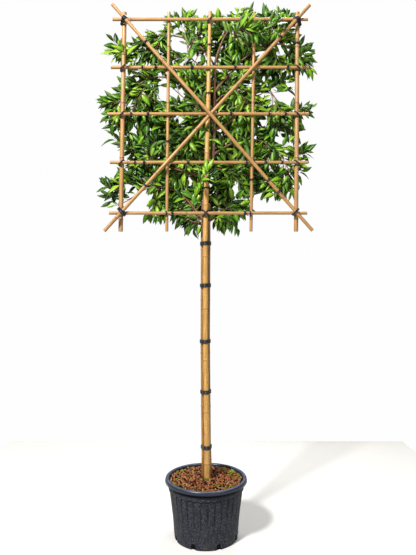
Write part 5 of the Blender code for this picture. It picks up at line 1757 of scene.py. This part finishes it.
def leaf_shape(bed: LeafBed) -> Shape:
    """The leaves as thin closed blades folded up along the midrib: 24 points and 22 faces a leaf.

    Args:
        bed: The leaves.

    Returns:
        The blades as one shape.
    """
    middle, beside = leaf_middles(bed)
    half = bed.width[:, None, None] / 2 * LEAF_HALVES[None, :, None]
    spread = beside[:, None] * np.cos(bed.fold)[:, None, None]
    lift = bed.face[:, None] * np.sin(bed.fold)[:, None, None]
    thick = bed.face[:, None] * LEAF_THICK
    left, right = middle + half * (spread + lift), middle + half * (lift - spread)
    points = np.stack([left, middle + thick, right, middle - thick], 2)
    rows, count = len(LEAF_STATIONS), len(bed.base)
    runs = rows - 1
    corners = np.array([[0, 4, 5, 1], [1, 5, 6, 2], [0, 3, 7, 4], [3, 2, 6, 7]])
    blades = (corners[:, None] + 4 * np.arange(runs)[:, None]).reshape(-1, 4)
    faces = np.concatenate([blades, [[0, 1, 2, 3]], [[4 * runs + corner for corner in (0, 3, 2, 1)]]])
    stalk = np.arange(len(faces)) % runs == 0
    under = np.where(bed.tone >= Tone.YOUNG.slot, Tone.YOUNG_UNDERSIDE.slot, Tone.UNDERSIDE.slot)
    slots = np.where(np.arange(len(faces))[None] >= 2 * runs, under[:, None], bed.tone[:, None])
    slots = np.where(stalk[None], Tone.STALK.slot, slots)
    vein = np.zeros((count, rows, 4, 3))
    vein[..., 0] = LEAF_STATIONS[None, :, None]
    vein[..., 1] = np.array([-1.0, 0.0, 1.0, 0.0])
    every = faces[None] + (4 * rows * np.arange(count))[:, None, None]
    return Shape(points.reshape(-1, 3), [every.reshape(-1, 4)], slots.ravel(), {"vein": vein.reshape(-1, 3)})


@dataclass
class Crown:
    """The foliage: from each limb a stem, twigs that branch on to points over the block, and leaves."""

    limbs: Array
    canes: Array
    density: float = 1080.0
    even_step: float = 1.2207440846057596
    outer_share: float = 0.72
    front_share: float = 0.42
    specks: int = 110
    speck_size: tuple[float, float] = (0.010, 0.020)
    reach: float = 0.098
    twig_steps: int = 9
    bare_steps: int = 4
    stem_steps: int = 16
    back: float = 0.118
    front: float = -0.004
    before_canes: tuple[float, float] = (-0.138, -0.112)
    before_leaves: tuple[float, float] = (-0.108, -0.088)
    behind_leaves: tuple[float, float] = (-0.020, -0.0265)
    x_limits: tuple[float, float] = (-0.702, 0.692)
    z_limits: tuple[float, float] = (1.824, 3.300)
    low_under: float = 2.12
    tone_shares: tuple[float, ...] = (0.08, 0.27, 0.37, 0.19, 0.09)
    leaf_length: tuple[float, float] = (0.071, 0.010)
    leaf_slimness: tuple[float, float] = (0.465, 0.045)
    leaf_spacing: float = 0.0138
    clear: float = 0.0022
    thinnest: float = 0.0009
    seed: int = 21

    def root_of(self, block: Block) -> tuple[Array, Array]:
        """Where a block's stem starts and its way: on from a limb's tip, or out of the trunk's side.

        Args:
            block: The block.

        Returns:
            The start, and the direction.
        """
        if block.carrier == "trunk":
            middle = trunk_at(block.leaves_at)
            heading = np.array([math.copysign(1.0, block.middle(0)[0] - middle[0]), 0.1, 0.35])
            heading /= np.linalg.norm(heading)
            return middle[:3] + heading * middle[3] * 0.6, heading
        if block.carrier == "trunk_tip":
            ends = trunk_at(TRUNK[-1, 0] - np.array([0.012, 0.002]))[:, :3]
        else:
            ends = next(b for b in BOUGHS if b.name == block.carrier).course(np.array([0.97, 0.995]))
        return ends[1], unit_rows(ends[1] - ends[0])

    def stem(self, block: Block, rng: np.random.Generator) -> Array:
        """The course of a block's stem: on from its root, then across most of the block.

        Args:
            block: The block.
            rng: Where chance comes from.

        Returns:
            Points (stem_steps, 3).
        """
        root, heading = self.root_of(block)
        far = root + (block.middle(0.035) - root) * block.across
        far[1] = rng.uniform(0.02, 0.06)
        far += rng.normal(0, 0.02, 3) * [1, 0.3, 1]
        pull = 0.4 * float(np.linalg.norm(far - root))
        second = far - (far - root) * 0.35 - np.array([0, 0, 0.03])
        return cubic(root, root + heading * pull, second, far, np.linspace(0, 1, self.stem_steps))

    def targets(self, block: Block, rng: np.random.Generator) -> tuple[Array, Array]:
        """Where twigs make for: an even sequence over the block's face, in the lobes and out of the windows.

        Term i of the sequence is start + i / even_step^(1, 2, 3) without its whole part, where even_step
        solves x^4 = x + 1.

        Args:
            block: The block.
            rng: Where chance comes from.

        Returns:
            The points, and which of them lie before the canes.
        """
        wide, high = block.x_high - block.x_low, block.z_high - block.z_low
        index = np.arange(1, int(wide * high * self.density) + 1)
        spread = (rng.uniform(size=3)[None] + index[:, None] / self.even_step ** np.arange(1, 4)[None]) % 1.0
        x, z = block.x_low + wide * spread[:, 0], block.z_low + high * spread[:, 1]
        y = self.front + (self.back - self.front) * spread[:, 2] ** 1.35
        before = within(FRONT, *seen(np.stack([x, np.full(len(x), sum(self.before_canes) / 2), z], -1)))
        before &= rng.uniform(size=len(x)) < self.front_share
        points = np.stack([x, np.where(before, rng.uniform(*self.before_canes, len(x)), y), z], -1)
        keep = within(LOBES, *seen(points)) & ~within(WINDOWS, *seen(points))
        keep &= rng.uniform(size=len(x)) < np.where(within(HEART, *seen(points)), 1.0, self.outer_share)
        tips = [unseen(tip_x, 0.03 if k % 2 else 0.07, tip_z) for k, (tip_x, tip_z) in enumerate(block.tips)]
        tips = np.array(tips).reshape(-1, 3)
        tips = tips + (block.middle(0.05) - tips) * 0.20
        return np.concatenate([points[keep], tips]), np.concatenate([before[keep], np.zeros(len(tips), bool)])

    def grow(self, block: Block, rng: np.random.Generator) -> list[Twig]:
        """The stem and twigs of a block, grown outwards: each leaves the others where its reach suits.

        Args:
            block: The block.
            rng: Where chance comes from.

        Returns:
            The stem, then its twigs.
        """
        stem = self.stem(block, rng)
        twigs = [Twig(stem)]
        nodes, ways = stem, unit_rows(np.gradient(stem, axis=0))
        owners = np.zeros(len(stem), int)
        points, before = self.targets(block, rng)
        far = np.array([np.linalg.norm(stem - point, axis=1).min() for point in points]) + 0.15 * before
        for i in np.argsort(far):
            target, front = points[i], bool(before[i])
            away = target - nodes
            distance = np.linalg.norm(away, axis=1)
            bend = 1 - (away * ways).sum(1) / np.maximum(distance, 1e-6)
            cost = np.abs(distance - self.reach) + 0.035 * bend + rng.uniform(0, 0.010, len(nodes))
            for start in np.argsort(cost)[: 24 if front else 1]:
                path = self.path(nodes[start], ways[start], target, rng)
                if not front or gap_to(self.canes, path).min() > 0.003:
                    break
            else:
                continue
            twigs.append(Twig(path, int(owners[start]), front))
            nodes = np.concatenate([nodes, path[self.bare_steps :]])
            ways = np.concatenate([ways, unit_rows(np.gradient(path, axis=0))[self.bare_steps :]])
            owners = np.concatenate([owners, np.full(self.twig_steps - self.bare_steps, len(twigs) - 1)])
        for twig in reversed(twigs):
            if twig.parent >= 0:
                twigs[twig.parent].load += twig.load
        return twigs

    def path(self, start: Array, way: Array, target: Array, rng: np.random.Generator) -> Array:
        """A twig's course: off along its parent, then up, or outwards and down at the crown's foot.

        Args:
            start: Where the twig leaves.
            way: The parent's direction there.
            target: Where the twig ends.
            rng: Where chance comes from.

        Returns:
            Points (twig_steps, 3).
        """
        run = target - start
        length = float(np.linalg.norm(run))
        rise = 0.55 if target[2] > self.low_under else rng.uniform(-0.55, 0.35)
        out = unit_rows(run / max(length, 1e-6) + np.array([0.0, 0.0, rise]) + rng.normal(0, 0.18, 3))
        t = np.linspace(0, 1, self.twig_steps)
        return cubic(start, start + way * 0.32 * length, target - out * 0.36 * length, target, t)

    def spurs(self, block: Block) -> list[Twig]:
        """Where leaves sit straight on the limb that carries the block: down its outer part's face."""
        t = np.linspace(0.22, 1.0, 24)
        courses = [bough.course(t) for bough in BOUGHS if bough.name == block.carrier]
        lifts = [np.array([0.0, -0.006, lift]) for lift in (0.003, -0.003)]
        return [Twig(course + lift) for course in courses for lift in lifts]

    def wood(self, twigs: list[Twig]) -> list[Shape]:
        """The twigs as tubes whose radius follows the number of twigs that they carry.

        Args:
            twigs: The stem and the twigs.

        Returns:
            The tubes of the twigs, and of the stem.
        """
        shapes = []
        for steps, sides in ((self.twig_steps, 6), (self.stem_steps, 9)):
            group = [twig for twig in twigs if len(twig.path) == steps]
            if group:
                load = np.array([twig.load for twig in group])
                base = np.clip(self.thinnest * load**0.42, 0, 0.0042)[:, None]
                tip = np.clip(base * 0.62, self.thinnest * 0.8, 0.0026)
                radii = base + (tip - base) * np.linspace(0, 1, steps)[None]
                shapes.append(closed_tubes(np.stack([twig.path for twig in group]), radii, sides))
        return shapes

    def openings(self) -> Array:
        """The windows, and ovals of sky no wider than a leaf, spread by chance but for the dense heart."""
        rng = np.random.default_rng(self.seed)
        x, z = rng.uniform(-0.60, 0.62, self.specks), rng.uniform(1.95, 3.20, self.specks)
        half = rng.uniform(*self.speck_size, (2, self.specks))
        small = np.stack([x, z, *half, np.full(self.specks, 2.0)], -1)[~within(HEART[:1], x, z)]
        return np.concatenate([WINDOWS * [1, 1, 0.82, 0.82, 1], small])

    def feet(self, twigs: list[Twig], rng: np.random.Generator) -> list[Array]:
        """Where leaves start, in pairs or a golden-angle spiral along each twig's outer part.

        Args:
            twigs: The twigs.
            rng: Where chance comes from.

        Returns:
            A row a leaf of its foot, the twig's way there, its turn round the twig, its distance from the
            twig's tip, its tone, whether it lies before the canes, and the twig's number.
        """
        beds = []
        tones = rng.choice(len(self.tone_shares), len(twigs), p=self.tone_shares)
        for k, twig in enumerate(twigs):
            steps = steps_of(twig.path)
            length = float(steps.sum())
            if twig.parent < 0:
                from_tip = np.arange(rng.uniform(0, 0.02), 0.97 * length, 1.5 * self.leaf_spacing)
            else:
                from_tip = np.arange(0.0, min(0.74 * length, 0.115), self.leaf_spacing)
            share, ruler = 1 - from_tip / length, np.concatenate([[0], np.cumsum(steps)]) / length
            ways = unit_rows(np.gradient(twig.path, axis=0))
            courses = (twig.path, ways)
            foot, way = (np.stack([np.interp(share, ruler, a) for a in rows.T], -1) for rows in courses)
            apart = LEAF_TURN if rng.uniform() < 0.35 else math.pi
            turn = rng.normal(0.0, 0.5) + np.arange(len(share)) * apart + rng.normal(0, 0.18, len(share))
            ones = np.ones(len(share), int)
            numbers = ones * tones[k], ones * twig.front > 0, ones * k
            beds.append((foot, unit_rows(way), turn, from_tip, *numbers))
        return [np.concatenate(parts) for parts in zip(*beds)]

    def leaves(self, twigs: list[Twig], rng: np.random.Generator) -> tuple[LeafBed, Array]:
        """The leaves of a block that are clear of limbs, canes and sky, and each one's twig.

        Args:
            twigs: The twigs.
            rng: Where chance comes from.

        Returns:
            The leaves, and the number of each one's twig.
        """
        foot, way, turn, from_tip, tone, before, owner = self.feet(twigs, rng)
        count = len(foot)
        beside = unit_rows(np.cross(way, BACK))
        out = np.cos(turn)[:, None] * beside + 0.55 * np.sin(turn)[:, None] * np.cross(way, beside)
        open_up = np.clip(from_tip / 0.045, 0.18, 1.0)[:, None]
        low = np.clip((self.low_under - foot[:, 2]) / 0.2, 0, 1) * (np.abs(foot[:, 0]) < 0.42)
        fall = (-0.48 + 0.50 * rng.uniform(size=count) + 0.80 * low)[:, None] * UP
        along = way * (1.05 - 0.45 * open_up) + out * 0.85 * open_up + rng.normal(0, 0.17, (count, 3)) - fall
        small = np.where(from_tip < 0.006, 0.80, 1.0) * (0.86 + 0.14 * np.clip(from_tip / 0.03, 0, 1))
        length = np.clip(rng.normal(*self.leaf_length, count), 0.040, 0.088) * small
        along = unit_rows(along)
        edge = np.where(foot[:, 1] < -0.05, -1.0, 1.0)
        tip_y = foot[:, 1] + along[:, 1] * length
        bad = np.where(before, tip_y > self.before_leaves[0], tip_y < self.behind_leaves[0])
        along[:, 1] = np.where(bad, edge * np.abs(along[:, 1]), along[:, 1])
        ahead = np.where(rng.uniform(size=count) < np.where(foot[:, 1] < 0.055, 0.86, 0.30), -1.0, 1.0)
        wish = np.stack([np.zeros(count), ahead, np.full(count, 0.62)], -1) + rng.normal(0, 0.36, (count, 3))
        face = unit_rows(wish - along * (wish * along).sum(1)[:, None])
        # Tones shift at random, one lighter at many tips for young growth, and one darker deep at the back of
        # the crown as painted shade
        shift = rng.choice([-1, 0, 1], count, p=[0.24, 0.52, 0.24])
        shift = shift + (from_tip < 0.014) * (rng.uniform(size=count) < 0.5) - (foot[:, 1] > 0.085) * 1
        tone = np.clip(tone + shift, Tone.SHADE.slot, Tone.YOUNG.slot)
        tone = np.where((from_tip < 0.004) & (rng.uniform(size=count) < 0.008), Tone.BUD.slot, tone)
        width = length * np.clip(rng.normal(*self.leaf_slimness, count), 0.36, 0.58)
        droop = rng.uniform(0.05, 0.45, count)
        sickle = -np.cross(face, along)[:, 2] * rng.uniform(0.02, 0.32, count) + rng.normal(0, 0.07, count)
        bed = LeafBed(foot, along, face, length, width, droop, rng.uniform(0.10, 0.55, count), sickle, tone)
        keep = self.fits(bed, before, rng)
        return bed.chosen(keep), owner[keep]

    def fits(self, bed: LeafBed, before: Array, rng: np.random.Generator) -> Array:
        """Whether each leaf is clear of the limbs, inside the crown, off the canes and out of the sky.

        Args:
            bed: The leaves.
            before: Which of them lie before the canes.
            rng: Where chance comes from.

        Returns:
            One answer a leaf.
        """
        count = len(bed.base)
        middle, beside = leaf_middles(bed)
        half = bed.width[:, None, None] / 2 * LEAF_HALVES[None, :, None] * beside[:, None]
        around = np.stack([middle, middle + half, middle - half], 1)[:, :, 1:].reshape(count, -1, 3)
        clear = gap_to(self.limbs, around.reshape(-1, 3)).reshape(count, -1).min(1) > self.clear
        least, most = around.min(1), around.max(1)
        inside = (least[:, 0] > self.x_limits[0]) & (most[:, 0] < self.x_limits[1])
        inside &= (least[:, 2] > self.z_limits[0]) & (most[:, 2] < self.z_limits[1])
        sky = within(self.openings(), *seen(middle[:, 3:])).any(1)
        sky &= rng.uniform(size=count) < 0.92
        placed = (least[:, 1] > self.behind_leaves[1]) | (before & (most[:, 1] < self.before_leaves[1]))
        return clear & inside & ~sky & placed

    def build(self) -> list[Piece]:
        """The leaves of each block, the sprouts and all the twigs."""
        materials = [tone.value.material() for tone in Tone]
        pieces, wood = [], []
        for i, block in enumerate(BLOCKS):
            rng = np.random.default_rng(self.seed + 100 * i)
            twigs = self.grow(block, rng)
            bed, owner = self.leaves(twigs + self.spurs(block), rng)
            leafy = np.bincount(owner, minlength=len(twigs)) > 0
            for k in range(len(twigs) - 1, 0, -1):
                leafy[twigs[k].parent] |= leafy[k]
            name = block.name.replace("foliage", "leaves")
            pieces.append((add_piece(name, leaf_shape(bed), materials), "leaves", [block.name]))
            wood += self.wood([twig for twig, keep in zip(twigs, leafy) if keep])
            log.info("%s: %d twigs, %d leaves", block.name, len(twigs), len(bed.base))
        ground = Substrate().mound(np.array([math.hypot(*sprout.place) for sprout in SPROUTS]))
        sprouts = [part for k, sprout in enumerate(SPROUTS) for part in sprout.build(float(ground[k]), k)]
        pieces.append((add_piece("sprouts", joined(sprouts), materials), "leaves", []))
        bark = BarkFinish("twig_bark", (0.230, 0.100, 0.050), (0.200, 0.165, 0.075), (0.32, 0.21, 0.12))
        pieces.append((add_piece("twigs", joined(wood), [bark.material()]), "bark", []))
        return pieces


@dataclass(frozen=True)
class Sprout:
    """A small plant on the substrate: its place, height, number and length of leaves, and their tone."""

    place: tuple[float, float]
    height: float
    leaves: int
    length: float
    tone: Tone

    def build(self, ground: float, seed: int) -> tuple[Shape, Shape]:
        """Leaves that spread by a golden-angle spiral, and the thin stem that they spread from.

        Args:
            ground: Height of the substrate there.
            seed: Varies the leaves.

        Returns:
            The leaves, and the stem.
        """
        rng = np.random.default_rng(seed)
        foot = np.array([*self.place, ground - 0.004])
        run = foot + np.array([0.15 * self.height, -0.1 * self.height, self.height + 0.004]) - foot
        stem = closed_tube(foot + run * np.linspace(0, 1, 6)[:, None], np.linspace(0.0011, 0.0007, 6), 6)
        stem.slots = np.full(stem.face_count(), Tone.YOUNG.slot)
        count = self.leaves
        share = np.linspace(0.45, 1.0, count)
        turn = np.arange(count) * LEAF_TURN + seed
        along = np.stack([np.cos(turn), np.sin(turn), 0.35 + 0.9 * share], -1)
        along = unit_rows(along + rng.normal(0, 0.15, (count, 3)))
        wish = np.array([0.0, -0.5, 1.0]) + rng.normal(0, 0.15, (count, 3))
        face = unit_rows(wish - along * (wish * along).sum(1)[:, None])
        length = self.length * rng.uniform(0.75, 1.1, count)
        bend, sickle = np.full(count, 0.25), rng.normal(0, 0.1, count)
        base, tone = foot + run * share[:, None], np.full(count, self.tone.slot)
        bed = LeafBed(base, along, face, length, length * 0.52, bend, bend, sickle, tone)
        return leaf_shape(bed), stem


SPROUTS = (
    Sprout((0.156, 0.055), 0.026, 7, 0.017, Tone.YOUNG),
    Sprout((0.150, 0.030), 0.010, 4, 0.013, Tone.FRESH),
    Sprout((0.003, -0.0645), 0.006, 5, 0.016, Tone.MID),
    Sprout((-0.150, 0.105), 0.008, 4, 0.012, Tone.YOUNG),
    Sprout((-0.088, -0.045), 0.006, 4, 0.012, Tone.YOUNG),
    Sprout((-0.185, -0.030), 0.005, 4, 0.011, Tone.YOUNG),
)


@dataclass(frozen=True)
class Lamp:
    """A soft rectangular lamp: where it stands, what it faces, its size, power and colour."""

    name: str
    place: Triple
    target: Triple
    size: float
    power: float
    colour: Triple

    def build(self) -> None:
        """Adds the lamp."""
        data = bpy.data.lights.new(self.name, "AREA")
        data.shape, data.size, data.energy, data.color = "SQUARE", self.size, self.power, self.colour
        lamp = add_object(self.name, data)
        lamp.location = self.place
        lamp.rotation_euler = (Vector(self.target) - Vector(self.place)).to_track_quat("-Z", "Y").to_euler()


@dataclass
class Studio:
    """The pale floor and background, the lamps and the camera at the photograph's viewpoint."""

    camera_place: Triple = (VIEW_X, -VIEW_FROM, VIEW_HEIGHT)
    lens: float = 34.75
    sensor: float = 36.0
    floor_half: float = 1.9
    seen_sky: tuple[Triple, float] = ((1, 1, 1), 0.99)
    lit_sky: tuple[Triple, float] = ((1.0, 0.99, 0.95), 0.20)
    lamps: tuple[Lamp, ...] = (
        Lamp("key", (-2.5, -3.7, 5.2), (0, 0, 1.9), 0.9, 570, (1.0, 0.975, 0.92)),
        Lamp("fill", (2.8, -4.0, 3.2), (0, 0, 2.0), 2.2, 62, (0.97, 0.98, 1.0)),
        Lamp("top", (0.8, 1.8, 5.4), (0, 0, 2.4), 1.6, 150, (1.0, 0.98, 0.94)),
    )

    def build(self) -> None:
        """Sets the stage."""
        h = self.floor_half
        mesh = bpy.data.meshes.new("floor")
        mesh.from_pydata([(-h, -h, 0), (h, -h, 0), (h, h, 0), (-h, h, 0)], [], [(0, 1, 2, 3)])
        floor = add_object("floor", mesh)
        mesh.materials.append(PaperFinish("floor_paper").material())
        for lamp in self.lamps:
            lamp.build()
        world = bpy.data.worlds.new("studio")
        bpy.context.scene.world = world
        world.use_nodes = True
        tree = Tree(world.node_tree)
        world.node_tree.nodes.clear()
        shown, lit = (
            tree.add("ShaderNodeBackground", {"Color": (*colour, 1), "Strength": strength}).outputs[0]
            for colour, strength in (self.seen_sky, self.lit_sky)
        )
        share = tree.add("ShaderNodeLightPath").outputs["Is Camera Ray"]
        mix = tree.add("ShaderNodeMixShader", {0: share, 1: lit, 2: shown})
        tree.add("ShaderNodeOutputWorld", {"Surface": mix.outputs[0]})
        camera = bpy.data.cameras.new("camera")
        camera.sensor_width, camera.lens = self.sensor, self.lens
        eye = add_object("camera", camera)
        eye.location, eye.rotation_euler = self.camera_place, (math.pi / 2, 0.0, 0.0)
        bpy.context.scene.camera = eye
        bpy.context.scene.view_settings.view_transform = "Standard"


def main() -> None:
    """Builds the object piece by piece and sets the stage."""
    logging.basicConfig(level=logging.INFO, format="%(message)s")
    bamboo = BambooFrame()
    courses = [cane.course for cane in bamboo.lattice() + bamboo.stem()]
    canes = np.concatenate([runs_of(course[:: 4 if len(course) > 50 else 1]) for course in courses])
    trunk = runs_of(trunk_at(np.linspace(TRUNK[0, 0], TRUNK[-1, 0], 60)))
    limbs = np.concatenate([canes, trunk, *(bough.runs() for bough in BOUGHS)])
    for part in (Pot(), Substrate(), bamboo, Ties(), Wood(), Crown(limbs, canes)):
        for piece, slot, nodes in part.build():
            place(piece, slot, nodes)
    Studio().build()
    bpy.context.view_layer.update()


if __name__ == "__main__":
    main()
